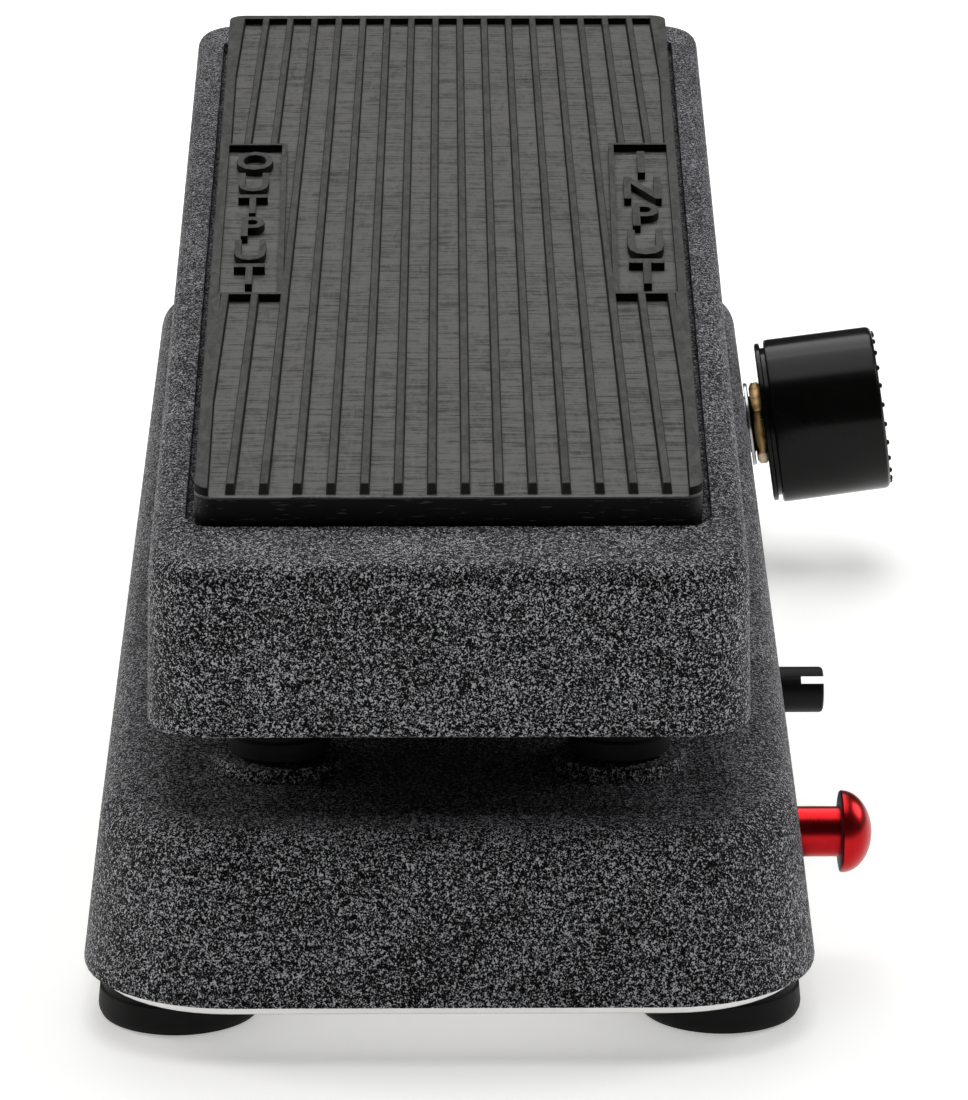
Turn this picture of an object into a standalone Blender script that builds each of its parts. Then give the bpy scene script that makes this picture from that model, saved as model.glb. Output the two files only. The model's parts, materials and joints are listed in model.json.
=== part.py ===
"""Rocker effects pedal: die-cast base and treadle, rack-driven control, three wall controls.

Frame: metres, +Z up, +Y from heel to toe, floor at Z = 0.
All numbers below are millimetres and are scaled when a mesh is written.
"""

import math
from collections import namedtuple

import bmesh
import bpy
from mathutils import Euler, Matrix, Vector

MM = 0.001
GAP = 0.3                     # clearance between touching pieces

# ---------------------------------------------------------------- driving dimensions
LENGTH = 254.0
HEEL_Y = -LENGTH / 2
TOE_Y = LENGTH / 2
FOOT_HEIGHT = 5.0
PLATE_THICKNESS = 0.9
BASE_FLOOR = 6.5              # lower edge of the base casting
BASE_HEEL_HALF = 42.0
BASE_TOE_HALF = 51.0
BASE_ROOF_HEEL = 25.2         # roof height at the heel edge
BASE_ROOF_TOE = 39.7
BASE_DRAFT = 8.2
HEEL_FACE_DRAFT = 14.0
TOE_FACE_DRAFT = 9.0
BASE_CORNER = 17.0
WALL = 3.2
EDGE_RADIUS = 4.0

PIVOT_Z = 54.0
TREADLE_TILT = 6.07           # toe-up at rest
TREADLE_TOP = 14.15           # top face above the pivot, square to the face
TREADLE_HEEL = -118.4
TREADLE_TOE = 125.6
TREADLE_HEEL_HALF = 34.4
TREADLE_TOE_HALF = 41.1
TREADLE_DRAFT = 2.0
SKIRT_HEEL = 20.3
SKIRT_TOE = 17.5
TREADLE_CORNER = 7.0
TREADLE_EDGE = 2.4
TREADLE_ROOF = 4.2
TREADLE_TRAVEL = 11.0

MAT_HEEL = -103.0
MAT_TOE = 113.0
MAT_HEEL_HALF = 29.2
MAT_TOE_HALF = 34.8
MAT_PROUD = 4.3
RECESS_DEPTH = 1.8
RECESS_GAP = 1.1
RIB_PITCH = 3.86
RIB_WIDTH = 1.25
CHANNEL_DEPTH = 1.1

RANGE_Y = 88.8
RANGE_Z = 22.0
KNOB_RADIUS = 13.0
KNOB_START = 2.8
KNOB_END = 21.5
LEVEL_Y = -38.5
BOOST_Y = -96.0
CONTROL_Z = 17.0
JACK_Y = 50.0
JACK_Z = 20.5
DC_Y = 70.0

RACK_Y = 38.0
TOOTH_MODULE = 0.75
PINION_TEETH = 12
PRESSURE_ANGLE = math.radians(25.0)
PITCH_RADIUS = TOOTH_MODULE * PINION_TEETH / 2
PITCH_LINE_Y = 39.6
PINION_Y = PITCH_LINE_Y + PITCH_RADIUS + 0.05
PINION_Z = 19.5

SWITCH_Y = 97.0
BUMPER_X = 20.0
BUMPER_Y = -98.0
FOOT_RADIUS = 9.5
FEET = {
    "heel_left": (-31.5, -109.5),
    "heel_right": (31.5, -109.5),
    "toe_left": (-39.0, 108.0),
    "toe_right": (39.0, 108.0),
}


def base_half(y):
    """Half width of the base's lower edge at y."""
    return BASE_HEEL_HALF + (BASE_TOE_HALF - BASE_HEEL_HALF) * (y - HEEL_Y) / LENGTH


def base_roof(y):
    """Height of the base's roof at y."""
    return BASE_ROOF_HEEL + (BASE_ROOF_TOE - BASE_ROOF_HEEL) * (y - HEEL_Y) / LENGTH


def base_wall_x(y, z):
    """Outer face of the right-hand wall."""
    return base_half(y) - math.tan(math.radians(BASE_DRAFT)) * (z - BASE_FLOOR)


DRAFT = math.radians(BASE_DRAFT)
PLAN_TAPER = math.atan((BASE_TOE_HALF - BASE_HEEL_HALF) / LENGTH)
KNOB_REACH = (base_wall_x(RANGE_Y, RANGE_Z) + KNOB_END * math.cos(DRAFT)
              + KNOB_RADIUS * math.sin(DRAFT))
BASE_REACH = base_half(TOE_Y - BASE_CORNER)
FRAME_SHIFT = (BASE_REACH - KNOB_REACH) / 2         # centres the whole pedal on X = 0

# ---------------------------------------------------------------- finishes
Finish = namedtuple("Finish", "color roughness metallic")
FINISHES = {
    "casting": Finish((0.030, 0.030, 0.032), 0.55, 0.0),
    "rubber": Finish((0.025, 0.025, 0.026), 0.60, 0.0),
    "steel": Finish((0.60, 0.60, 0.60), 0.30, 1.0),
    "brass": Finish((0.48, 0.33, 0.16), 0.35, 1.0),
    "black_plastic": Finish((0.012, 0.012, 0.013), 0.25, 0.0),
    "red_anodised": Finish((0.55, 0.01, 0.03), 0.22, 1.0),
    "nylon": Finish((0.80, 0.79, 0.74), 0.45, 0.0),
    "board": Finish((0.02, 0.16, 0.07), 0.40, 0.0),
    "battery_case": Finish((0.10, 0.11, 0.13), 0.40, 0.3),
    "red_lead": Finish((0.55, 0.03, 0.02), 0.45, 0.0),
    "foam": Finish((0.09, 0.09, 0.10), 0.95, 0.0),
}


def clear_scene():
    for obj in list(bpy.data.objects):
        bpy.data.objects.remove(obj, do_unlink=True)


def finish(name, piece):
    """One Principled material for one piece."""
    spec = FINISHES[name]
    material = bpy.data.materials.new(piece + "_finish")
    material.use_nodes = True
    shader = material.node_tree.nodes["Principled BSDF"]
    shader.inputs["Base Color"].default_value = (*spec.color, 1.0)
    shader.inputs["Roughness"].default_value = spec.roughness
    shader.inputs["Metallic"].default_value = spec.metallic
    material.diffuse_color = (*spec.color, 1.0)
    return material


# ---------------------------------------------------------------- mesh tools
def empty(name, place, turn=(0.0, 0.0, 0.0), parent=None):
    """A named frame: place in millimetres, turn in degrees."""
    obj = bpy.data.objects.new(name, None)
    bpy.context.collection.objects.link(obj)
    obj.location = [value * MM for value in place]
    obj.rotation_euler = Euler([math.radians(angle) for angle in turn])
    obj.parent = parent
    return obj


def to_mesh(name, bm):
    """Write a bmesh in millimetres as a mesh in metres, faces pointing out."""
    bmesh.ops.recalc_face_normals(bm, faces=bm.faces)
    bmesh.ops.scale(bm, vec=(MM, MM, MM), verts=bm.verts)
    mesh = bpy.data.meshes.new(name)
    bm.to_mesh(mesh)
    bm.free()
    return mesh


def piece(name, bm, look, parent, smooth=True):
    """A finished object from a bmesh."""
    mesh = to_mesh(name, bm)
    obj = bpy.data.objects.new(name, mesh)
    bpy.context.collection.objects.link(obj)
    obj.parent = parent
    mesh.materials.append(finish(look, name))
    if smooth:
        mesh.shade_smooth()
        mesh.set_sharp_from_angle(angle=math.radians(32))
    return obj


def guide(obj, bm, operation):
    """Join or cut obj with a hidden guide shape."""
    mesh = to_mesh(obj.name + "_tool", bm)
    tool = bpy.data.objects.new(obj.name + "_tool", mesh)
    bpy.context.collection.objects.link(tool)
    tool.parent = obj.parent
    tool.hide_render = True
    tool.display_type = "WIRE"
    modifier = obj.modifiers.new(operation.lower(), "BOOLEAN")
    modifier.operation = operation
    modifier.object = tool
    return tool


def add_rings(bm, rings, closed=False):
    """Skin a list of point rings; open ends are capped."""
    loops = [[bm.verts.new(point) for point in ring] for ring in rings]
    pairs = list(zip(loops, loops[1:]))
    if closed:
        pairs.append((loops[-1], loops[0]))
    for lower, upper in pairs:
        count = len(lower)
        for index in range(count):
            nxt = (index + 1) % count
            bm.faces.new((lower[index], lower[nxt], upper[nxt], upper[index]))
    if not closed:
        bm.faces.new(list(reversed(loops[0])))
        bm.faces.new(loops[-1])


def ring_points(radius, height, steps, turn=0.0):
    """A circle of points around local Z."""
    angles = [turn + 2 * math.pi * index / steps for index in range(steps)]
    return [(radius * math.cos(a), radius * math.sin(a), height) for a in angles]


def turned(profile, steps=20, matrix=None, closed=False):
    """A body turned around local Z from (radius, height) pairs."""
    bm = bmesh.new()
    rings = [ring_points(radius, height, steps) for radius, height in profile]
    add_rings(bm, rings, closed)
    if matrix is not None:
        bmesh.ops.transform(bm, matrix=matrix, verts=bm.verts)
    return bm


def along_x(place):
    """Local Z laid along +X at place."""
    return Matrix.Translation(place) @ Matrix.Rotation(math.pi / 2, 4, "Y")


def block(low, high, bm=None):
    """A box between two corners."""
    bm = bm or bmesh.new()
    size = [b - a for a, b in zip(low, high)]
    centre = [(a + b) / 2 for a, b in zip(low, high)]
    matrix = Matrix.Translation(centre) @ Matrix.Diagonal((*size, 1.0))
    bmesh.ops.create_cube(bm, size=1.0, matrix=matrix)
    return bm


def rod(start, end, radius, steps=20, bm=None):
    """A plain cylinder between two points."""
    bm = bm or bmesh.new()
    first, last = Vector(start), Vector(end)
    span = last - first
    turn = Vector((0, 0, 1)).rotation_difference(span.normalized()).to_matrix().to_4x4()
    matrix = Matrix.Translation((first + last) / 2) @ turn
    bmesh.ops.create_cone(bm, cap_ends=True, segments=steps, radius1=radius,
                          radius2=radius, depth=span.length, matrix=matrix)
    return bm


def extruded(outline, start, end, axis="Z", bm=None):
    """A flat outline given depth along an axis: X takes (y, z) pairs, Z takes (x, y)."""
    bm = bm or bmesh.new()
    if axis == "X":
        rings = [[(depth, a, b) for a, b in outline] for depth in (start, end)]
    else:
        rings = [[(a, b, depth) for a, b in outline] for depth in (start, end)]
    add_rings(bm, rings)
    return bm


def soften(obj, width, segments=2):
    """A Bevel modifier in millimetres on sharp edges."""
    modifier = obj.modifiers.new("bevel", "BEVEL")
    modifier.width = width * MM
    modifier.segments = segments
    modifier.limit_method = "ANGLE"
    modifier.angle_limit = math.radians(40)
    return modifier


def rounded(corners, radius, steps=6):
    """A convex outline, counter-clockwise, with every corner as an arc."""
    points = []
    count = len(corners)
    for index, corner in enumerate(corners):
        here = Vector(corner)
        back = (Vector(corners[index - 1]) - here).normalized()
        ahead = (Vector(corners[(index + 1) % count]) - here).normalized()
        half = back.angle(ahead) / 2
        centre = here + (back + ahead).normalized() * (radius / math.sin(half))
        first = here + back * (radius / math.tan(half)) - centre
        sweep = math.pi - 2 * half
        for step in range(steps + 1):
            angle = sweep * step / steps
            spoke = Vector((first.x * math.cos(angle) - first.y * math.sin(angle),
                            first.x * math.sin(angle) + first.y * math.cos(angle)))
            points.append(tuple(centre + spoke))
    return points


def trapezoid(heel_half, toe_half, heel_y, toe_y, radius, steps=6):
    """The rounded outline that base, plate, treadle and mat share."""
    corners = [(-heel_half, heel_y), (heel_half, heel_y), (toe_half, toe_y), (-toe_half, toe_y)]
    return rounded(corners, radius, steps)


# ---------------------------------------------------------------- castings
Casting = namedtuple("Casting", "heel_half toe_half heel_y toe_y floor roof "
                                "side_draft heel_draft toe_draft corner")


def casting_ring(shape, rise, drop=0.0, inset=0.0, corner=None):
    """One ring of a drafted casting: rise 0 is its lower edge and 1 its roof, less drop."""
    def height(y):
        return (shape.roof(y) - drop - shape.floor(y)) * rise

    heel_lift = height(shape.heel_y)
    toe_lift = height(shape.toe_y)
    side = math.tan(math.radians(shape.side_draft))
    heel_y = shape.heel_y + math.tan(math.radians(shape.heel_draft)) * heel_lift + inset
    toe_y = shape.toe_y - math.tan(math.radians(shape.toe_draft)) * toe_lift - inset
    heel_half = shape.heel_half - side * heel_lift - inset
    toe_half = shape.toe_half - side * toe_lift - inset
    radius = max(corner or shape.corner - inset, 0.8)
    outline = trapezoid(heel_half, toe_half, heel_y, toe_y, radius)
    return [(x, y, shape.floor(y) + height(y)) for x, y in outline]


def hollow_casting(shape, wall, roof, edge, steps=4):
    """An open-bottomed shell with a rounded upper edge."""
    rings = [casting_ring(shape, 1.0, roof, wall + 1.0)]
    rings.append(casting_ring(shape, 0.93, roof, wall))
    rings.append(casting_ring(shape, 0.0, roof, wall))
    rings.append(casting_ring(shape, 0.0))
    for step in range(steps + 1):
        angle = math.pi / 2 * step / steps
        drop = edge * (1 - math.sin(angle))
        rings.append(casting_ring(shape, 1.0, drop, edge * (1 - math.cos(angle))))
    bm = bmesh.new()
    add_rings(bm, rings)
    return bm


BASE = Casting(BASE_HEEL_HALF, BASE_TOE_HALF, HEEL_Y, TOE_Y, lambda y: BASE_FLOOR, base_roof,
               BASE_DRAFT, HEEL_FACE_DRAFT, TOE_FACE_DRAFT, BASE_CORNER)


def skirt_floor(y):
    """Lower edge of the treadle's skirt, in the treadle's own frame."""
    share = (y - TREADLE_HEEL) / (TREADLE_TOE - TREADLE_HEEL)
    return TREADLE_TOP - SKIRT_HEEL + (SKIRT_HEEL - SKIRT_TOE) * share


TREADLE = Casting(TREADLE_HEEL_HALF, TREADLE_TOE_HALF, TREADLE_HEEL, TREADLE_TOE, skirt_floor,
                  lambda y: TREADLE_TOP, TREADLE_DRAFT, TREADLE_DRAFT, TREADLE_DRAFT,
                  TREADLE_CORNER)


def range_matrix():
    """Frame on the right wall: local Z is the wall's outward normal."""
    normal = Vector((math.cos(DRAFT) * math.cos(PLAN_TAPER),
                     -math.cos(DRAFT) * math.sin(PLAN_TAPER), math.sin(DRAFT)))
    turn = Vector((0, 0, 1)).rotation_difference(normal).to_matrix().to_4x4()
    return Matrix.Translation((base_wall_x(RANGE_Y, RANGE_Z), RANGE_Y, RANGE_Z)) @ turn


POST_X = (16.0, 22.0)
BUSH_HOLE = 4.8


def post_outline():
    """Side view of a pivot post, (y, z): wide foot, round head about the pivot."""
    foot = base_roof(0.0) - 1.2
    points = [(-11.0, foot), (11.0, foot)]
    for step in range(9):
        angle = math.radians(-10 + 200 * step / 8)
        points.append((6.0 * math.cos(angle), PIVOT_Z + 6.0 * math.sin(angle)))
    return points


def base_housing(frame):
    obj = piece("base_housing", hollow_casting(BASE, WALL, WALL, EDGE_RADIUS), "casting", frame)
    adds = bmesh.new()
    for side in (-1, 1):
        inner, outer = (side * POST_X[0], side * POST_X[1])
        extruded(post_outline(), min(inner, outer), max(inner, outer), "X", adds)
        pedestal_roof = base_roof(BUMPER_Y) - 1.0
        rod((side * BUMPER_X, BUMPER_Y, pedestal_roof), (side * BUMPER_X, BUMPER_Y,
            base_roof(BUMPER_Y) + 1.0), 7.5, 20, adds)
    for x, y in FEET.values():
        rod((x, y, BASE_FLOOR + GAP), (x, y, base_roof(y) - WALL + 1.2), 4.0, 16, adds)
    for x, y in BOARD_PILLARS:
        rod((x, y, pillar_floor(y)), (x, y, base_roof(y) - WALL + 1.2), 2.6, 12, adds)
    block((-8.0, 47.0, 30.9), (5.8, 57.0, base_roof(47.0) - 1.2), adds)
    guide(obj, adds, "UNION")
    guide(obj, base_cuts(), "DIFFERENCE")
    return obj


def base_cuts():
    """All holes in the base casting."""
    cuts = bmesh.new()
    for side in (-1, 1):
        rod((side * 10, 0, PIVOT_Z), (side * 30, 0, PIVOT_Z), BUSH_HOLE, 20, cuts)
    for x, y in FEET.values():
        rod((x, y, 0), (x, y, 17.0), 2.1, 12, cuts)
    for x, y in BOARD_PILLARS:
        rod((x, y, pillar_floor(y) - 2), (x, y, pillar_floor(y) + 6.0), 1.4, 8, cuts)
    block((-4.0, 34.9, 26.0), (4.0, 41.4, 45.0), cuts)
    rod((0, SWITCH_Y, 25), (0, SWITCH_Y, 48), 6.3, 24, cuts)
    rod((-1.0, 52.0, 28.0), (-1.0, 52.0, 33.9), 1.5, 10, cuts)
    start, end = (range_matrix() @ Vector((0, 0, depth)) for depth in (-9.0, 4.0))
    rod(start, end, 4.8, 24, cuts)
    for y, radius in ((LEVEL_Y, 3.7), (BOOST_Y, 3.6)):
        rod((33.0, y, CONTROL_Z), (50.0, y, CONTROL_Z), radius, 24, cuts)
    for side in (-1, 1):
        rod((side * 38, JACK_Y, JACK_Z), (side * 56, JACK_Y, JACK_Z), 5.0, 24, cuts)
    rod((-38, DC_Y, JACK_Z), (-56, DC_Y, JACK_Z), 4.8, 24, cuts)
    return cuts


def bottom_plate(frame):
    inset = 1.8
    outline = trapezoid(BASE_HEEL_HALF - inset, BASE_TOE_HALF - inset, HEEL_Y + inset,
                        TOE_Y - inset, BASE_CORNER - inset)
    low = FOOT_HEIGHT + GAP
    obj = piece("bottom_plate", extruded(outline, low, low + PLATE_THICKNESS), "steel", frame)
    cuts = bmesh.new()
    for x, y in FEET.values():
        rod((x, y, 0), (x, y, 10), 2.3, 16, cuts)
    guide(obj, cuts, "DIFFERENCE")
    return obj


def foot(frame, name, place):
    x, y = place
    top = FOOT_HEIGHT
    profile = [(2.3, 2.2), (5.0, 2.2), (5.0, 0.0), (8.9, 0.0), (FOOT_RADIUS, 0.7),
               (9.2, top - 0.3), (8.9, top), (2.3, top)]
    matrix = Matrix.Translation((x, y, 0))
    return piece("foot_" + name, turned(profile, 20, matrix, closed=True), "rubber", frame)


def pan_screw(name, place, length, shank, head, head_height, frame):
    """A pan-head screw with a recess in its head, driven upwards from place."""
    profile = [(0.12 * head, head_height * 0.55), (0.35 * head, 0.0), (head * 0.78, 0.0),
               (head, head_height * 0.5), (head, head_height), (shank, head_height),
               (shank, head_height + length - 0.4), (shank - 0.4, head_height + length)]
    return piece(name, turned(profile, 12, Matrix.Translation(place)), "steel", frame)


# ---------------------------------------------------------------- treadle
LUG_X = (24.0, 29.0)
RACK_LUG_X = (3.5, 7.5)
PIN_RADIUS = 3.0
EYE_PIN_RADIUS = 1.5


def to_treadle(y, z):
    """World (y, z) at rest as the treadle's own (y, z)."""
    tilt = math.radians(TREADLE_TILT)
    rise = z - PIVOT_Z
    return (y * math.cos(tilt) + rise * math.sin(tilt),
            rise * math.cos(tilt) - y * math.sin(tilt))


def lug_outline(centre, radius, spread):
    """A lug hanging from the treadle's roof, (y, z), round about its hole."""
    y, z = centre
    roof = TREADLE_TOP - TREADLE_ROOF + 0.8
    points = [(y + spread, roof), (y - spread, roof)]
    for step in range(9):
        angle = math.radians(190 + 160 * step / 8)
        points.append((y + radius * math.cos(angle), z + radius * math.sin(angle)))
    return points


def treadle(frame):
    shell = hollow_casting(TREADLE, 2.8, TREADLE_ROOF, TREADLE_EDGE)
    obj = piece("treadle", shell, "casting", frame)
    guide(obj, treadle_adds(), "UNION")
    guide(obj, treadle_cuts(), "DIFFERENCE")
    return obj


def treadle_adds():
    adds = bmesh.new()
    roof = TREADLE_TOP - TREADLE_ROOF + 0.8
    eye = to_treadle(RACK_Y, PIVOT_Z)
    for side in (-1, 1):
        for (near, far), centre, radius, spread in ((LUG_X, (0.0, 0.0), 5.6, 12.0),
                                                    (RACK_LUG_X, eye, 3.6, 7.0)):
            faces = sorted((side * near, side * far))
            extruded(lug_outline(centre, radius, spread), *faces, "X", adds)
        y, z = to_treadle(BUMPER_Y, bumper_top() + GAP)
        rod((side * BUMPER_X, y, z), (side * BUMPER_X, y, roof), 7.0, 20, adds)
        stiffener = sorted((side * 9.4, side * 11.4))
        block((stiffener[0], -106.0, roof - 5.0), (stiffener[1], -16.0, roof), adds)
        block((stiffener[0], 20.0, roof - 5.0), (stiffener[1], 84.0, roof), adds)
    y, z = pad_place()
    rod((0, y, z + 1.5), (0, y, roof), 8.0, 20, adds)
    return adds


def treadle_cuts():
    cuts = bmesh.new()
    recess = trapezoid(MAT_HEEL_HALF + RECESS_GAP, MAT_TOE_HALF + RECESS_GAP,
                       MAT_HEEL - RECESS_GAP, MAT_TOE + RECESS_GAP, 3.4)
    extruded(recess, TREADLE_TOP - RECESS_DEPTH, TREADLE_TOP + 5.0, "Z", cuts)
    for side in (-1, 1):
        rod((side * 22.5, 0, 0), (side * 32, 0, 0), PIN_RADIUS + 0.12, 24, cuts)
    y, z = to_treadle(RACK_Y, PIVOT_Z)
    for side in (-1, 1):
        rod((side * 2.5, y, z), (side * 10, y, z), EYE_PIN_RADIUS + 0.12, 16, cuts)
    return cuts


def tread_mat(frame):
    floor = TREADLE_TOP - RECESS_DEPTH + GAP
    top = TREADLE_TOP + MAT_PROUD
    outline = trapezoid(MAT_HEEL_HALF, MAT_TOE_HALF, MAT_HEEL, MAT_TOE, 2.4, 4)
    obj = piece("tread_mat", extruded(outline, floor, top), "rubber", frame)
    guide(obj, mat_channels(top), "DIFFERENCE")
    return obj


def mat_channels(top):
    """Parallel channels, open at the heel and cut short by the slanting side borders."""
    cuts = bmesh.new()
    border = 1.6
    low_y, high_y = MAT_HEEL - 2.0, MAT_TOE - 2.0
    slope = (MAT_TOE_HALF - MAT_HEEL_HALF) / (MAT_TOE - MAT_HEEL)

    def inner_half(y):
        return MAT_HEEL_HALF + slope * (y - MAT_HEEL) - border

    reach = int(inner_half(high_y) / RIB_PITCH) + 1
    for index in range(-reach, reach + 1):
        near = abs(index) * RIB_PITCH - (RIB_PITCH - RIB_WIDTH) / 2
        far = abs(index) * RIB_PITCH + (RIB_PITCH - RIB_WIDTH) / 2
        start_near = max(low_y, MAT_HEEL + (near + border - MAT_HEEL_HALF) / slope)
        start_far = max(low_y, MAT_HEEL + (far + border - MAT_HEEL_HALF) / slope)
        if start_near > high_y - 8.0:
            continue
        outline = [(near, start_near), (far, min(start_far, high_y))]
        if start_far < high_y:
            outline += [(far, high_y)]
        else:
            outline[1] = (inner_half(high_y), high_y)
        outline += [(near, high_y)]
        if start_far == low_y and start_near > low_y:
            outline.insert(1, (near, low_y))
        if index < 0:
            outline = [(-x, y) for x, y in reversed(outline)]
        extruded(outline, top - CHANNEL_DEPTH, top + 3.0, "Z", cuts)
    return cuts


def pivot_pin(frame):
    end = 31.5
    groove = 30.0
    half = [(PIN_RADIUS - 0.4, end), (PIN_RADIUS, end - 0.4), (PIN_RADIUS, groove + 0.5),
            (2.2, groove + 0.5), (2.2, groove - 0.5), (PIN_RADIUS, groove - 0.5)]
    profile = [(r, -x) for r, x in half] + [(r, x) for r, x in reversed(half)]
    return piece("pivot_pin", turned(profile, 20, along_x((0, 0, 0))), "steel", frame)


def pivot_bush(frame, name, side):
    """A flanged nylon bush pressed into a post from outside."""
    inner = PIN_RADIUS + 0.15
    profile = [(inner, POST_X[0]), (BUSH_HOLE - GAP, POST_X[0]),
               (BUSH_HOLE - GAP, POST_X[1] + GAP), (6.0, POST_X[1] + GAP),
               (6.0, LUG_X[0] - 0.4), (inner, LUG_X[0] - 0.4)]
    matrix = Matrix.Translation((0, 0, PIVOT_Z)) @ Matrix.Rotation(side * math.pi / 2, 4, "Y")
    return piece("pivot_bush_" + name, turned(profile, 20, matrix, closed=True), "nylon", frame)


def pivot_clip(frame, name, side):
    """A C-shaped retaining clip in the pin's groove."""
    outer, inner, steps, opening = 5.0, 2.5, 12, math.radians(70)
    outline = []
    for radius, order in ((outer, range(steps + 1)), (inner, range(steps, -1, -1))):
        for step in order:
            angle = opening / 2 + (2 * math.pi - opening) * step / steps
            outline.append((radius * math.cos(angle), radius * math.sin(angle)))
    faces = sorted((side * 29.65, side * 30.35))
    bm = extruded(outline, *faces, "X")
    return piece("pivot_clip_" + name, bm, "steel", frame)


def bumper_top():
    """Where the heel bumper meets the treadle's boss."""
    return 37.0


def heel_bumper(frame, name, side):
    low = base_roof(BUMPER_Y) + 1.0 + GAP
    high = bumper_top()
    profile = [(6.0, low), (6.0, high - 3.0), (5.6, high - 1.6), (4.4, high - 0.7)]
    profile += [(2.4, high - 0.15)]
    matrix = Matrix.Translation((side * BUMPER_X, BUMPER_Y, 0))
    return piece("heel_bumper_" + name, turned(profile, 16, matrix), "rubber", frame)


PLUNGER_TOP = 49.0


def pad_place():
    """Underside of the toe pad in the treadle's frame: it clears the plunger at full travel."""
    swing = math.radians(TREADLE_TILT - TREADLE_TRAVEL)
    rise = PLUNGER_TOP + 0.7 - PIVOT_Z
    return (SWITCH_Y * math.cos(swing) + rise * math.sin(swing),
            rise * math.cos(swing) - SWITCH_Y * math.sin(swing))


def toe_pad(frame):
    y, z = pad_place()
    profile = [(6.0, z), (6.8, z + 0.3), (6.8, z + 1.5 - GAP)]
    matrix = Matrix.Translation((0, y, 0))
    return piece("toe_pad", turned(profile, 16, matrix), "rubber", frame)


# ---------------------------------------------------------------- rack and pinion
def involute_half_angle(radius):
    """Half the tooth's width, as an angle, at a radius of the pinion."""
    base = PITCH_RADIUS * math.cos(PRESSURE_ANGLE)
    play = 0.16
    half_pitch = (math.pi * TOOTH_MODULE / 2 - play) / 2 / PITCH_RADIUS
    slope = math.acos(min(1.0, base / radius))
    return (half_pitch + math.tan(PRESSURE_ANGLE) - PRESSURE_ANGLE
            - (math.tan(slope) - slope))


def pinion_outline():
    """The pinion's teeth, one of them pointing at the rack (-Y)."""
    root = PITCH_RADIUS - 0.95 * TOOTH_MODULE
    base = PITCH_RADIUS * math.cos(PRESSURE_ANGLE)
    tip = PITCH_RADIUS + 0.8 * TOOTH_MODULE
    radii = [root] + [base + (tip - base) * step / 3 for step in range(4)]
    outline = []
    for tooth in range(PINION_TEETH):
        middle = math.pi + 2 * math.pi * tooth / PINION_TEETH
        flank = [(radius, involute_half_angle(max(radius, base))) for radius in radii]
        points = [(radius, middle - angle) for radius, angle in flank]
        points += [(radius, middle + angle) for radius, angle in reversed(flank)]
        outline += [(PINION_Y + r * math.cos(a), PINION_Z + r * math.sin(a)) for r, a in points]
    return outline


def pot_pinion(frame):
    """Pinion and potentiometer shaft, one piece about X; the frame is on the shaft."""
    centred = [(y - PINION_Y, z - PINION_Z) for y, z in pinion_outline()]
    obj = piece("pot_pinion", extruded(centred, -3.6, 3.6, "X"), "nylon", frame)
    guide(obj, rod((3.0, 0, 0), (14.0, 0, 0), 2.0, 16), "UNION")
    return obj


RACK_HALF = 3.0
RACK_BACK = 35.9
RACK_LOW = 15.4
RACK_TEETH_TOP = 30.0


def rack_outline():
    """Side view of the rack, (y, z): back, foot, teeth facing the toe, and its head."""
    pitch = math.pi * TOOTH_MODULE
    addendum = 0.8 * TOOTH_MODULE
    dedendum = 0.95 * TOOTH_MODULE
    flank = math.tan(PRESSURE_ANGLE)
    half = pitch / 4 - 0.04
    outline = [(RACK_BACK, RACK_LOW), (PITCH_LINE_Y - dedendum, RACK_LOW)]
    middle = PINION_Z - 1.5 * pitch
    while middle < RACK_TEETH_TOP:
        root_half = half + dedendum * flank
        tip_half = half - addendum * flank
        outline += [(PITCH_LINE_Y - dedendum, middle - root_half),
                    (PITCH_LINE_Y + addendum, middle - tip_half),
                    (PITCH_LINE_Y + addendum, middle + tip_half),
                    (PITCH_LINE_Y - dedendum, middle + root_half)]
        middle += pitch
    outline += [(PITCH_LINE_Y - dedendum, 48.5)]
    for step in range(9):
        angle = math.radians(-50 + 280 * step / 8)
        outline.append((RACK_Y + 4.4 * math.cos(angle), PIVOT_Z + 4.4 * math.sin(angle)))
    outline += [(RACK_BACK, 48.5)]
    return outline


def rack(frame):
    """Toothed rack; the eye is long in Y because the treadle's pin swings on an arc."""
    obj = piece("rack", extruded(rack_outline(), -RACK_HALF, RACK_HALF, "X"), "nylon", frame)
    hole = EYE_PIN_RADIUS + 0.18
    eye = rounded([(RACK_Y - 1.0 - hole, PIVOT_Z - hole), (RACK_Y + 0.5 + hole, PIVOT_Z - hole),
                   (RACK_Y + 0.5 + hole, PIVOT_Z + hole), (RACK_Y - 1.0 - hole, PIVOT_Z + hole)],
                  hole - 0.02, 5)
    guide(obj, extruded(eye, -5, 5, "X"), "DIFFERENCE")
    return obj


def rack_pin(frame):
    y, z = to_treadle(RACK_Y, PIVOT_Z)
    profile = [(EYE_PIN_RADIUS - 0.3, -8.6), (EYE_PIN_RADIUS, -8.3), (EYE_PIN_RADIUS, 8.3),
               (EYE_PIN_RADIUS - 0.3, 8.6)]
    return piece("rack_pin", turned(profile, 16, along_x((0, y, z))), "steel", frame)


BRACKET_X = (6.5, 8.0)


def pot_bracket(frame):
    low, high = BRACKET_X
    flange_top = 30.9 - GAP
    outline = [(29.0, 11.0), (56.5, 11.0), (56.5, flange_top - 0.6), (29.0, flange_top - 2.0)]
    bm = extruded(outline, low, high, "X")
    obj = piece("pot_bracket", bm, "steel", frame)
    guide(obj, block((-7.0, 47.5, flange_top - 1.5), (high - 0.2, 56.5, flange_top)), "UNION")
    cuts = rod((0, PINION_Y, PINION_Z), (12, PINION_Y, PINION_Z), 3.9, 20)
    rod((-1.0, 52.0, 26.0), (-1.0, 52.0, 33.0), 1.9, 12, cuts)
    guide(obj, cuts, "DIFFERENCE")
    return obj


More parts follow.
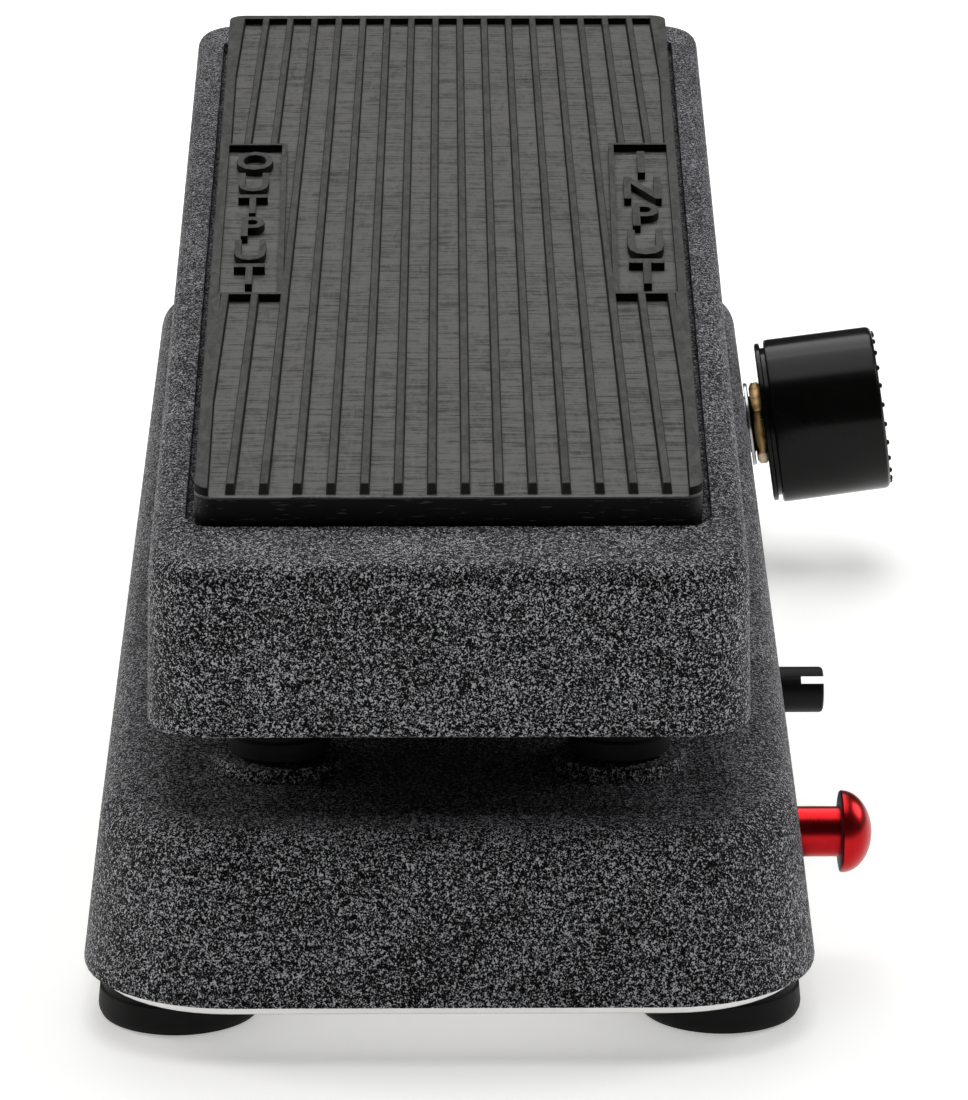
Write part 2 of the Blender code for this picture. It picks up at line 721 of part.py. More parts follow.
def wah_pot_body(frame):
    """Potentiometer can with a threaded bush and a blind bore for its shaft."""
    profile = [(2.3, 15.0), (2.3, 4.2), (3.5, 4.2), (3.6, 4.5), (3.6, 8.3), (10.0, 8.3),
               (10.2, 8.8), (10.2, 17.6), (9.6, 18.3)]
    matrix = along_x((0, PINION_Y, PINION_Z))
    obj = piece("wah_pot_body", turned(profile, 24, matrix), "steel", frame)
    lugs = bmesh.new()
    for offset in (-4.0, 0.0, 4.0):
        block((9.5, PINION_Y + 9.0, PINION_Z + offset - 1.0),
              (10.5, PINION_Y + 13.5, PINION_Z + offset + 1.0), lugs)
    guide(obj, lugs, "UNION")
    return obj


def hex_nut(name, flats, hole, start, end, matrix, look, frame):
    """A hexagon nut from start to end along local Z."""
    bm = bmesh.new()
    steps = 12
    outer = flats / 2

    def side(angle):
        return outer / math.cos((angle + math.pi / 6) % (math.pi / 3) - math.pi / 6)

    def hexagon(height, trim):
        angles = [2 * math.pi * index / steps for index in range(steps)]
        return [(min(side(a), outer * trim) * math.cos(a),
                 min(side(a), outer * trim) * math.sin(a), height) for a in angles]

    chamfer = 0.25 * (end - start)
    rings = [ring_points(hole, start, steps), hexagon(start, 1.04),
             hexagon(start + chamfer, 1.155), hexagon(end - chamfer, 1.155), hexagon(end, 1.04),
             ring_points(hole, end, steps)]
    add_rings(bm, rings, closed=True)
    bmesh.ops.transform(bm, matrix=matrix, verts=bm.verts)
    return piece(name, bm, look, frame)


def washer(name, outer, hole, start, end, matrix, look, frame):
    profile = [(hole, start), (outer, start), (outer, end), (hole, end)]
    return piece(name, turned(profile, 16, matrix, closed=True), look, frame)


def rack_guide(frame):
    """Nylon rub block behind the rack."""
    bm = block((-3.6, 31.0, 14.0), (BRACKET_X[0] - GAP, RACK_BACK - 0.25, 27.0))
    obj = piece("rack_guide", bm, "nylon", frame)
    soften(obj, 0.5, 1)
    return obj


# ---------------------------------------------------------------- footswitch
def footswitch(frame):
    """Body under the roof, threaded bush through it, blind bore for the plunger."""
    roof = base_roof(SWITCH_Y) - WALL
    body_top = roof - 1.6
    body = block((-9.0, SWITCH_Y - 9.0, body_top - 15.0), (9.0, SWITCH_Y + 9.0, body_top))
    obj = piece("footswitch_body", body, "black_plastic", frame)
    soften(obj, 0.8)
    adds = rod((0, SWITCH_Y, body_top - 2), (0, SWITCH_Y, 43.6), 5.9, 24)
    for x in (-4.8, 0.0, 4.8):
        for y in (-4.8, 0.0, 4.8):
            block((x - 0.4, SWITCH_Y + y - 1.0, body_top - 18.5),
                  (x + 0.4, SWITCH_Y + y + 1.0, body_top - 14.0), adds)
    guide(obj, adds, "UNION")
    bore = rod((0, SWITCH_Y, 34.5), (0, SWITCH_Y, 50.0), 4.4, 20)
    guide(obj, bore, "DIFFERENCE")
    tilt = math.atan((BASE_ROOF_TOE - BASE_ROOF_HEEL) / LENGTH)
    seat = Matrix.Translation((0, SWITCH_Y, base_roof(SWITCH_Y)))
    seat = seat @ Matrix.Rotation(tilt, 4, "X")
    washer("footswitch_washer", 8.6, 6.4, GAP, GAP + 0.9, seat, "steel", frame)
    hex_nut("footswitch_nut", 14.0, 6.4, GAP + 1.2, GAP + 3.2, seat, "steel", frame)


def footswitch_plunger(frame):
    """Sprung plunger; local zero is its top."""
    profile = [(3.6, -11.5), (4.0, -11.1), (4.0, -0.9), (3.6, -0.3), (2.4, 0.0)]
    return piece("footswitch_plunger", turned(profile, 20), "steel", frame)


# ---------------------------------------------------------------- wall controls
def range_control(frame, spindle):
    """Rotary switch on the sloping wall; the spindle frame carries shaft and knob."""
    wall_frame = range_matrix()
    body = [(3.4, -13.0), (3.4, 4.4), (4.1, 4.4), (4.5, 4.0), (4.5, -WALL - GAP),
            (10.4, -WALL - GAP), (10.8, -WALL - 0.8), (10.8, -15.5), (10.0, -16.2)]
    obj = piece("range_switch_body", turned(body, 24, wall_frame), "black_plastic", frame)
    tags = bmesh.new()
    for step in range(6):
        angle = math.radians(20 + 28 * step)
        x, y = 8.2 * math.cos(angle), 8.2 * math.sin(angle)
        block((x - 0.7, y - 0.5, -19.0), (x + 0.7, y + 0.5, -15.8), tags)
    bmesh.ops.transform(tags, matrix=wall_frame, verts=tags.verts)
    guide(obj, tags, "UNION")
    washer("range_washer", 6.6, 4.9, GAP, GAP + 0.6, wall_frame, "steel", frame)
    hex_nut("range_nut", 11.6, 4.9, GAP + 0.8, GAP + 2.7, wall_frame, "brass", frame)
    shaft = [(3.0, -12.6), (3.0, 17.0), (2.7, 17.3)]
    piece("range_shaft", turned(shaft, 20), "steel", spindle)
    range_knob(spindle)


def range_knob(spindle):
    """Moulded knob: thin skirt, groove, fluted body, blind bore."""
    r = KNOB_RADIUS
    start, end = KNOB_START, KNOB_END
    profile = [(3.3, 17.8), (3.3, 6.6), (8.0, 6.6), (8.0, start), (r - 0.3, start),
               (r, start + 0.2), (r - 0.1, start + 0.8), (r - 1.3, start + 0.9),
               (r - 1.3, start + 1.4), (r - 0.5, start + 1.5), (r - 0.25, end - 0.5),
               (r - 0.6, end)]
    return piece("range_knob", turned(profile, 28), "black_plastic", spindle)


def level_control(frame, spindle):
    """Board-mounted potentiometer and its slotted shaft."""
    wall = base_wall_x(LEVEL_Y, CONTROL_Z)
    body = block((22.0, LEVEL_Y - 8.0, BOARD_TOP + GAP), (31.5, LEVEL_Y + 8.0, 22.4))
    obj = piece("level_pot_body", body, "steel", frame)
    soften(obj, 0.6, 1)
    guide(obj, rod((30, LEVEL_Y, CONTROL_Z), (wall - WALL - 1.8, LEVEL_Y, CONTROL_Z), 4.6, 20),
          "UNION")
    guide(obj, rod((24, LEVEL_Y, CONTROL_Z), (50, LEVEL_Y, CONTROL_Z), 3.3, 20), "DIFFERENCE")
    tip = 5.5
    profile = [(3.0, 24.6 - wall), (3.0, tip - 0.5), (2.6, tip)]
    shaft = piece("level_shaft", turned(profile, 24, along_x((0, 0, 0))), "black_plastic",
                  spindle)
    slot = block((tip - 3.0, -5.0, 0.75), (tip + 1.0, 5.0, 1.7))
    bmesh.ops.rotate(slot, verts=slot.verts, matrix=Matrix.Rotation(math.radians(-17), 3, "X"))
    guide(shaft, slot, "DIFFERENCE")


def boost_control(frame, slider):
    """Board-mounted push switch and its mushroom-headed button."""
    body = block((19.0, BOOST_Y - 6.0, BOARD_TOP + GAP), (31.0, BOOST_Y + 6.0, 20.9))
    obj = piece("boost_switch_body", body, "black_plastic", frame)
    soften(obj, 0.5, 1)
    guide(obj, rod((22.5, BOOST_Y, CONTROL_Z), (36, BOOST_Y, CONTROL_Z), 3.3, 20), "DIFFERENCE")
    wall = base_wall_x(BOOST_Y, CONTROL_Z)
    head = 4.9
    profile = [(2.6, 27.0 - wall), (3.0, 27.4 - wall), (3.0, head), (4.5, head),
               (4.9, head + 0.25)]
    profile += [(4.9 * math.cos(a), head + 0.25 + 3.6 * math.sin(a))
                for a in (math.radians(15 * step) for step in range(1, 6))]
    piece("boost_button", turned(profile, 20, along_x((0, 0, 0))), "red_anodised", slider)


# ---------------------------------------------------------------- sockets and boards
JACK_BOARD = (12.0, 13.6)
BOARD_LOW = 9.0
BOARD_TOP = 10.6
BOARD_PILLARS = [(-30.0, 38.0), (30.0, 38.0), (6.0, -101.0)]


def pillar_floor(y):
    """Lower end of a board pillar: it meets the board that hangs from it."""
    top = JACK_BOARD[1] if y > 0 else BOARD_TOP
    return top + GAP


def jack(frame, name, side):
    """Quarter-inch socket: body on the board, nose in the wall, blind bore."""
    wall = base_wall_x(JACK_Y, JACK_Z)
    inner = wall - WALL - 1.0
    low, high = sorted((side * inner, side * (inner - 22.0)))
    body = block((low, JACK_Y - 7.5, JACK_BOARD[1] + GAP), (high, JACK_Y + 7.5, 27.2))
    obj = piece(name, body, "black_plastic", frame)
    soften(obj, 0.6, 1)
    nose = rod((side * (inner - 2), JACK_Y, JACK_Z), (side * (wall - 1.2), JACK_Y, JACK_Z),
               4.6, 24)
    guide(obj, nose, "UNION")
    bore = rod((side * (inner - 20.0), JACK_Y, JACK_Z), (side * (wall + 5), JACK_Y, JACK_Z),
               3.25, 20)
    guide(obj, bore, "DIFFERENCE")
    return obj


def dc_inlet(frame):
    """Power inlet: barrel bore with a centre pin."""
    wall = base_wall_x(DC_Y, JACK_Z)
    inner = wall - WALL - 1.0
    body = block((-inner, DC_Y - 4.5, JACK_BOARD[1] + GAP), (-inner + 13.0, DC_Y + 4.5, 25.8))
    obj = piece("dc_inlet", body, "black_plastic", frame)
    soften(obj, 0.5, 1)
    guide(obj, rod((-inner + 2, DC_Y, JACK_Z), (-wall + 1.2, DC_Y, JACK_Z), 4.4, 20), "UNION")
    bore = turned([(1.0, 0.0), (2.8, 0.0), (2.8, 18.0), (1.0, 18.0)], 20,
                  Matrix.Translation((-inner + 9.0, DC_Y, JACK_Z))
                  @ Matrix.Rotation(-math.pi / 2, 4, "Y"), closed=True)
    guide(obj, bore, "DIFFERENCE")
    guide(obj, rod((-inner - 2.0, DC_Y, JACK_Z), (-wall - 5, DC_Y, JACK_Z), 2.8, 20),
          "DIFFERENCE")
    return obj


def board(name, low, high, notches, holes, frame):
    obj = piece(name, block(low, high), "board", frame, smooth=False)
    cuts = bmesh.new()
    for notch_low, notch_high in notches:
        block(notch_low, notch_high, cuts)
    for x, y in holes:
        rod((x, y, low[2] - 2), (x, y, high[2] + 2), 1.6, 12, cuts)
    guide(obj, cuts, "DIFFERENCE")
    return obj


def boards(frame):
    low, high = JACK_BOARD
    notch = ((-4.6, 20.0, low - 1), (19.4, 60.0, high + 1))
    toe_pillars = [place for place in BOARD_PILLARS if place[1] > 0]
    heel_pillars = [place for place in BOARD_PILLARS if place[1] < 0]
    board("jack_board", (-39.5, 33.5, low), (39.5, 76.5, high), [notch], toe_pillars, frame)
    board("control_board", (-1.5, -110.5, BOARD_LOW), (33.0, -16.5, BOARD_TOP),
          [((24.0, -114.0, 5.0), (38.0, -103.5, 12.0))], heel_pillars, frame)
    for index, (x, y) in enumerate(BOARD_PILLARS):
        top = low if y > 0 else BOARD_LOW
        pan_screw("board_screw_%d" % (index + 1), (x, y, top - 1.6 - GAP), 5.0, 1.15, 2.4, 1.6,
                  frame)


def inductor(frame):
    profile = [(5.5, BOARD_TOP + GAP), (6.2, BOARD_TOP + 0.8), (6.2, 20.0), (5.4, 20.8)]
    matrix = Matrix.Translation((9.0, -66.0, 0))
    return piece("inductor", turned(profile, 16, matrix), "red_lead", frame)


def capacitor(frame, name, place, radius, height):
    low = BOARD_TOP + GAP
    profile = [(radius - 0.4, low), (radius, low + 0.4), (radius, low + 1.0),
               (radius - 0.25, low + 1.4), (radius, low + 1.8), (radius, low + height - 0.5),
               (radius - 0.5, low + height)]
    matrix = Matrix.Translation((*place, 0))
    return piece(name, turned(profile, 12, matrix), "battery_case", frame)


def transistor(frame, name, place):
    x, y = place
    outline = [(x + 2.3 * math.cos(a), y + 2.3 * math.sin(a))
               for a in (math.radians(-35 + 250 * step / 10) for step in range(11))]
    bm = extruded(outline, BOARD_TOP + 2.0, BOARD_TOP + 6.5)
    obj = piece(name, bm, "black_plastic", frame)
    legs = bmesh.new()
    for offset in (-1.27, 0.0, 1.27):
        block((x + offset - 0.25, y + 0.2, BOARD_TOP + GAP),
              (x + offset + 0.25, y + 0.7, BOARD_TOP + 2.5), legs)
    guide(obj, legs, "UNION")
    return obj


# ---------------------------------------------------------------- battery
BATTERY_LOW = (-35.0, -78.0, 6.9)
BATTERY_HIGH = (-8.8, -32.0, 23.6)


def battery(frame):
    obj = piece("battery", block(BATTERY_LOW, BATTERY_HIGH), "battery_case", frame)
    soften(obj, 1.2, 2)
    middle_z = (BATTERY_LOW[2] + BATTERY_HIGH[2]) / 2
    middle_x = (BATTERY_LOW[0] + BATTERY_HIGH[0]) / 2
    studs = bmesh.new()
    for offset, radius in ((-6.35, 2.8), (6.35, 3.7)):
        rod((middle_x + offset, BATTERY_HIGH[1] - 1, middle_z),
            (middle_x + offset, BATTERY_HIGH[1] + 2.2, middle_z), radius, 14, studs)
    guide(obj, studs, "UNION")
    return obj


def battery_snap(frame):
    middle_z = (BATTERY_LOW[2] + BATTERY_HIGH[2]) / 2
    start = BATTERY_HIGH[1] + 2.2 + GAP
    bm = block((-32.0, start, middle_z - 6.0), (-11.8, start + 3.2, middle_z + 6.0))
    obj = piece("battery_snap", bm, "black_plastic", frame)
    soften(obj, 0.8, 1)
    return obj


def battery_pad(frame):
    """Foam strip that keeps the battery from rattling."""
    low = (-34.0, -88.0, 7.0)
    bm = block(low, (-10.0, BATTERY_LOW[1] - 1.0, 19.0))
    return piece("battery_pad", bm, "foam", frame, smooth=False)


def lead(name, points, radius, look, frame):
    """A hook-up lead: a round tube along a smooth curve through the points."""
    curve = bpy.data.curves.new(name, "CURVE")
    curve.dimensions = "3D"
    curve.bevel_depth = radius * MM
    curve.bevel_resolution = 2
    curve.use_fill_caps = True
    spline = curve.splines.new("POLY")
    path = smooth_path([Vector(point) for point in points], 4)
    spline.points.add(len(path) - 1)
    for target, point in zip(spline.points, path):
        target.co = (*(point * MM), 1.0)
    obj = bpy.data.objects.new(name, curve)
    bpy.context.collection.objects.link(obj)
    obj.parent = frame
    curve.materials.append(finish(look, name))
    return obj


def smooth_path(points, steps):
    """Catmull-Rom points between the given ones."""
    padded = [2 * points[0] - points[1]] + points + [2 * points[-1] - points[-2]]
    path = []
    for before, start, end, after in zip(padded, padded[1:], padded[2:], padded[3:]):
        for step in range(steps):
            t = step / steps
            path.append(0.5 * (2 * start + (end - before) * t
                               + (2 * before - 5 * start + 4 * end - after) * t ** 2
                               + (3 * start - before - 3 * end + after) * t ** 3))
    path.append(points[-1])
    return path


def leads(frame):
    snap_face = BATTERY_HIGH[1] + 2.2 + GAP + 3.2 + GAP
    lead("battery_lead_red", [(-27.0, snap_face, 15.2), (-27.0, -20.0, 15.2),
                              (-20.0, -12.0, 13.0), (-8.0, -12.0, 10.4), (0.5, -13.0, 9.8),
                              (3.0, -16.1, 9.8)],
         0.6, "red_lead", frame)
    lead("battery_lead_black", [(-17.0, snap_face, 15.2), (-17.0, -21.5, 15.2),
                                (-13.0, -17.0, 13.0), (-7.0, -18.5, 10.4), (-1.9, -22.0, 9.8)],
         0.6, "black_plastic", frame)
    lead("board_lead", [(20.0, -16.1, 9.8), (20.0, -8.0, 9.8), (24.0, 8.0, 10.8),
                        (27.0, 24.0, 12.6), (27.0, 33.1, 12.8)],
         0.8, "black_plastic", frame)


def build():
    clear_scene()
    frame = empty("pedal_frame", (FRAME_SHIFT, 0, 0))
    swing = empty("treadle_axis", (0, 0, PIVOT_Z), (TREADLE_TILT, 0, 0), frame)
    pinion_axis = empty("pinion_axis", (0, PINION_Y, PINION_Z), parent=frame)
    plunger_axis = empty("plunger_axis", (0, SWITCH_Y, PLUNGER_TOP), parent=frame)
    level_axis = empty("level_axis", (base_wall_x(LEVEL_Y, CONTROL_Z), LEVEL_Y, CONTROL_Z),
                       parent=frame)
    boost_axis = empty("boost_axis", (base_wall_x(BOOST_Y, CONTROL_Z), BOOST_Y, CONTROL_Z),
                       parent=frame)
    range_axis = empty("range_axis", (0, 0, 0), parent=frame)
    place = range_matrix()
    range_axis.location = place.translation * MM
    range_axis.rotation_euler = place.to_euler()

    base_housing(frame)
    bottom_plate(frame)
    for name, spot in FEET.items():
        foot(frame, name, spot)
        pan_screw("foot_screw_" + name, (*spot, 0.2), 13.0, 1.7, 3.8, 1.9 - GAP, frame)
    treadle(swing)
    tread_mat(swing)
    pivot_pin(swing)
    toe_pad(swing)
    rack_pin(swing)
    for name, side in (("left", -1), ("right", 1)):
        pivot_bush(frame, name, side)
        pivot_clip(swing, name, side)
        heel_bumper(frame, name, side)
    rack(frame)
    pot_pinion(pinion_axis)
    pot_bracket(frame)
    wah_pot_body(frame)
    pot_axis = along_x((0, PINION_Y, PINION_Z))
    hex_nut("wah_pot_nut", 10.0, 3.9, 4.5, BRACKET_X[0] - GAP, pot_axis, "steel", frame)
    pan_screw("bracket_screw", (-1.0, 52.0, 30.6 - 1.5 - GAP - 1.5), 4.6, 1.2, 2.6, 1.5, frame)
    rack_guide(frame)
    footswitch(frame)
    footswitch_plunger(plunger_axis)
    range_control(frame, range_axis)
    level_control(frame, level_axis)
    boost_control(frame, boost_axis)
    jack(frame, "input_jack", 1)
    jack(frame, "output_jack", -1)
    dc_inlet(frame)
    boards(frame)
    inductor(frame)
    capacitor(frame, "capacitor_large", (9.0, -88.0), 4.0, 10.0)
    capacitor(frame, "capacitor_small", (19.0, -78.0), 2.6, 8.0)
    transistor(frame, "transistor_first", (11.0, -50.0))
    transistor(frame, "transistor_second", (11.0, -38.0))
    battery(frame)
    battery_snap(frame)
    battery_pad(frame)
    leads(frame)


build()
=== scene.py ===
"""Rocker effects pedal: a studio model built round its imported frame.

Every mesh is drawn in millimetres with X = 0 on the pedal's middle plane, then seated in the frame.
Treadle pieces are drawn flat, with the pivot at the origin, and tilted with the treadle.
"""
import json
import math

import bpy
from bpy.props import FloatProperty, FloatVectorProperty, IntProperty, PointerProperty
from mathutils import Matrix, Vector


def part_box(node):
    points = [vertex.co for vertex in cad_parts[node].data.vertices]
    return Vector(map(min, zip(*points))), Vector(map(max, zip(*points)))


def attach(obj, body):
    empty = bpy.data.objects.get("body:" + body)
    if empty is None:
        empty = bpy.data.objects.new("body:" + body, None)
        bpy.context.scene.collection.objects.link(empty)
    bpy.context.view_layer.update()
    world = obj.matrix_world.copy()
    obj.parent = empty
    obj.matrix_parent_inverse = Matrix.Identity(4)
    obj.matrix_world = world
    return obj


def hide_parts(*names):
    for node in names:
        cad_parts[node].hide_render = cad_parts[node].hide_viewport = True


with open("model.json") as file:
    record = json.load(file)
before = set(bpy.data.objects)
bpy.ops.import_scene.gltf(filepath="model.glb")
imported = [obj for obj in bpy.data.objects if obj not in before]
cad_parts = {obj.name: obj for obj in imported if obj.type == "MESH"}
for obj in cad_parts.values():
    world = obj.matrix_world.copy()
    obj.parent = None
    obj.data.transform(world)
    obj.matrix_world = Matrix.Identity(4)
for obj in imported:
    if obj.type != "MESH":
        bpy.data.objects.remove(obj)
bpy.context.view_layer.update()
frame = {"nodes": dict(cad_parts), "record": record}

bl_info = {
    "name": "Rocker Pedal",
    "version": (1, 0, 0),
    "blender": (4, 5, 0),
    "location": "View3D > Sidebar > Pedal",
    "description": "Builds a rocker effects pedal with its treadle, mat and wall controls",
    "category": "Object",
}

MM = 0.001


def spot(node):
    """A CAD node's lowest and highest corners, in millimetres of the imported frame."""
    low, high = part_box(node)
    return low / MM, high / MM


MIDDLE = sum(corner.x for corner in spot("pivot_pin")) / 2


def extent(node):
    """A CAD node's corners, in millimetres from the pedal's middle plane."""
    low, high = spot(node)
    shift = Vector((MIDDLE, 0, 0))
    return low - shift, high - shift


def centre(node):
    """The middle of a CAD node, in millimetres from the pedal's middle plane."""
    low, high = extent(node)
    return (low + high) / 2


# ------------------------------------------------------------------ dimensions of the castings
PIVOT = centre("pivot_pin").z
TILT = math.radians(6.07)
HEEL_Y = extent("base_housing")[0].y
TOE_Y = extent("base_housing")[1].y
BASE_LENGTH = TOE_Y - HEEL_Y
BASE_FLOOR = extent("base_housing")[0].z
BASE_HEEL_HALF = 42.0
BASE_TOE_HALF = 51.0
BASE_CORNER = 17.0
ROOF_HEEL = 25.2
ROOF_TOE = 39.7
ROOF_SLOPE = (ROOF_TOE - ROOF_HEEL) / BASE_LENGTH
SIDE_DRAFT = math.radians(8.2)
HEEL_DRAFT = math.radians(14.0)
TOE_DRAFT = math.radians(9.0)
WALL = 3.2
SOCKET_Z = 20.5
FEET = ("heel_left", "heel_right", "toe_left", "toe_right")

TREADLE_TOP = 14.15
TREADLE_HEEL = -118.4
TREADLE_TOE = 125.6
TREADLE_HEEL_HALF = 34.4
TREADLE_TOE_HALF = 41.1
TREADLE_DRAFT = math.radians(2.0)
SKIRT_HEEL = 20.3
SKIRT_TOE = 17.5
TREADLE_ROOF = 4.2
TREADLE_WALL = 2.8

MAT_HEEL = -103.0
MAT_TOE = 113.0
MAT_HEEL_HALF = 29.2
MAT_TOE_HALF = 34.8
MAT_SLOPE = (MAT_TOE_HALF - MAT_HEEL_HALF) / (MAT_TOE - MAT_HEEL)
MAT_FLOOR = TREADLE_TOP + 3.2
RECESS_DEPTH = 1.8
RECESS_GAP = 1.1


def roof(y):
    """Height of the base's roof at y."""
    return ROOF_HEEL + ROOF_SLOPE * (y - HEEL_Y)


def wall_x(y, z):
    """Outer face of the right-hand wall of the base."""
    half = BASE_HEEL_HALF + (BASE_TOE_HALF - BASE_HEEL_HALF) * (y - HEEL_Y) / BASE_LENGTH
    return half - math.tan(SIDE_DRAFT) * (z - BASE_FLOOR)


# ------------------------------------------------------------------ settings in the sidebar
def length(name, description, default):
    """A length setting, its default in millimetres."""
    return FloatProperty(name=name, description=description, default=default * MM, unit="LENGTH",
                         precision=5)


def colour(name, description, default):
    """A colour setting."""
    return FloatVectorProperty(name=name, description=description, default=default,
                               subtype="COLOR", size=3, min=0.0, max=1.0)


class PedalCastings(bpy.types.PropertyGroup):
    """Sizes and finish of the two castings."""
    base_edge: length("Base edge", "Radius round the roof of the base", 4.0)
    treadle_edge: length("Treadle edge", "Radius round the top of the treadle", 2.4)
    treadle_corner: length("Treadle corner", "Radius of the treadle's four corners", 7.0)
    coat: colour("Coat", "Colour of the wrinkle powder coat", (0.016, 0.016, 0.017))
    grain: length("Grain", "Size of one bump of the powder coat", 0.37)


class PedalMat(bpy.types.PropertyGroup):
    """Sizes and finish of the tread mat."""
    pitch: length("Rib pitch", "Distance from one rib to the next", 3.86)
    rib: length("Rib width", "Width of a rib at its foot", 1.25)
    rise: length("Rib height", "Height of a rib above the channels", 1.1)
    border: length("Border", "Width of the raised border", 1.6)
    rubber: colour("Rubber", "Colour of the mat", (0.052, 0.052, 0.0495))


class PedalControls(bpy.types.PropertyGroup):
    """Sizes and finish of the wall controls."""
    nubs: IntProperty(name="Knob nubs", description="Nubs round the knob's face", default=24,
                      min=6, max=60)
    button: colour("Button", "Colour of the anodised push button", (0.46, 0.012, 0.015))
    nut: colour("Nut", "Colour of the knob's brass nut", (0.42, 0.27, 0.12))


class PedalStudio(bpy.types.PropertyGroup):
    """Camera and lights."""
    reach: length("Camera distance", "From the camera back to the pedal's middle", 592.3)
    height: length("Camera height", "Camera height above the floor", 187.2)
    pitch: FloatProperty(name="Pitch", description="How far the camera looks down",
                         default=math.radians(15.26), subtype="ANGLE")
    lens: FloatProperty(name="Lens", description="Focal length", default=144.07, unit="CAMERA")
    floor: colour("Floor", "Colour of the floor", (0.90, 0.90, 0.89))


# ------------------------------------------------------------------ modelling helpers
def activate(obj):
    """Makes a piece the only selected and active one."""
    bpy.ops.object.select_all(action="DESELECT")
    obj.select_set(True)
    bpy.context.view_layer.objects.active = obj
    return obj


def named(name):
    """Names the primitive that was just added."""
    obj = bpy.context.object
    obj.name = name
    obj.data.name = name
    return obj


def settle(obj):
    """Puts a piece's place, turn and size into its mesh."""
    activate(obj)
    bpy.ops.object.transform_apply(location=True, rotation=True, scale=True)
    return obj


def edit(obj, kind="VERT", test=None):
    """Opens edit mode with the vertices, edges or faces that pass a test selected."""
    activate(obj)
    bpy.ops.object.mode_set(mode="EDIT")
    bpy.ops.mesh.select_mode(type=kind)
    bpy.ops.mesh.select_all(action="SELECT" if test is None else "DESELECT")
    if test is not None:
        bpy.ops.object.mode_set(mode="OBJECT")
        mesh = obj.data
        parts = {"VERT": mesh.vertices, "EDGE": mesh.edges, "FACE": mesh.polygons}[kind]
        for part in parts:
            part.select = bool(test(part))
        bpy.ops.object.mode_set(mode="EDIT")


def leave(obj=None):
    """Closes edit mode."""
    bpy.ops.object.mode_set(mode="OBJECT")
    return obj


def heal(obj):
    """Merges doubles and turns every face outwards."""
    edit(obj)
    bpy.ops.mesh.remove_doubles(threshold=0.002 * MM)
    bpy.ops.mesh.normals_make_consistent(inside=False)
    return leave(obj)


def lay(obj, place=(0, 0, 0), towards=(0, 0, 1)):
    """Moves a piece made about the origin to its place, its top facing a direction."""
    obj.rotation_euler = Vector(towards).to_track_quat("Z", "Y").to_euler()
    obj.location = Vector(place) * MM
    return settle(obj)


def block(name, low, high):
    """A box between two corners."""
    bpy.ops.object.select_all(action="DESELECT")
    size = [(b - a) * MM for a, b in zip(low, high)]
    middle = [(a + b) / 2 * MM for a, b in zip(low, high)]
    bpy.ops.mesh.primitive_cube_add(size=1.0, location=middle, scale=size)
    return settle(named(name))


def turned(name, profile, steps=48, closed=False):
    """A body turned about Z from (radius, height) pairs, from one flat end to the other."""
    bpy.ops.object.select_all(action="DESELECT")
    radius, height = profile[0]
    bpy.ops.mesh.primitive_circle_add(vertices=steps, radius=radius * MM, fill_type="NGON",
                                      location=(0, 0, height * MM))
    obj = settle(named(name))
    edit(obj, "FACE")
    for wider, higher in profile[1:]:
        bpy.ops.mesh.extrude_region_move(
            TRANSFORM_OT_translate={"value": (0, 0, (higher - height) * MM)})
        scale = wider / radius
        if abs(scale - 1.0) > 1e-6:
            bpy.ops.transform.resize(value=(scale, scale, 1), center_override=(0, 0, higher * MM))
        radius, height = wider, higher
    leave()
    if closed:
        edit(obj, "FACE", lambda face: len(face.vertices) == steps)
        bpy.ops.mesh.delete(type="ONLY_FACE")
        leave()
    return heal(obj)


def rod(name, place, radius, depth, towards=(0, 0, 1), steps=32):
    """A plain rod from place, depth long."""
    return lay(turned(name, [(radius, 0), (radius, depth)], steps), place, towards)


def combine(obj, tool, operation):
    """Welds, cuts or trims a piece with another, which is used up."""
    activate(obj)
    modifier = obj.modifiers.new("combine", "BOOLEAN")
    modifier.operation = operation
    modifier.solver = "EXACT"
    modifier.object = tool
    bpy.ops.object.modifier_apply(modifier=modifier.name)
    bpy.data.objects.remove(tool)
    if len(obj.data.polygons) < 4:
        raise RuntimeError("nothing is left of " + obj.name)
    return obj


def weld(obj, part):
    """Adds a part to a piece."""
    return combine(obj, part, "UNION")


def cut(obj, tool):
    """Cuts a tool's shape out of a piece."""
    return combine(obj, tool, "DIFFERENCE")


def join(pieces):
    """Several meshes as one object."""
    activate(pieces[0])
    for piece in pieces:
        piece.select_set(True)
    bpy.ops.object.join()
    return pieces[0]


def copied(obj, shift=(0, 0, 0)):
    """A copy with its own mesh, moved."""
    twin = obj.copy()
    twin.data = obj.data.copy()
    bpy.context.collection.objects.link(twin)
    twin.location = Vector(shift) * MM
    return settle(twin)


def mirrored(obj, name):
    """A copy on the other side of the middle plane."""
    twin = copied(obj)
    twin.name = twin.data.name = name
    twin.scale = (-1, 1, 1)
    return heal(settle(twin))


def soften(obj, width, segments=2, angle=35):
    """Rounds the sharp edges of a piece."""
    activate(obj)
    modifier = obj.modifiers.new("soften", "BEVEL")
    modifier.width = width * MM
    modifier.segments = segments
    modifier.limit_method = "ANGLE"
    modifier.angle_limit = math.radians(angle)
    modifier.use_clamp_overlap = True
    bpy.ops.object.modifier_apply(modifier=modifier.name)
    return obj


def level_normals(obj):
    """Lets large faces keep their own direction where they meet a rounding."""
    activate(obj)
    modifier = obj.modifiers.new("level", "WEIGHTED_NORMAL")
    modifier.keep_sharp = True
    bpy.ops.object.modifier_apply(modifier=modifier.name)
    return obj


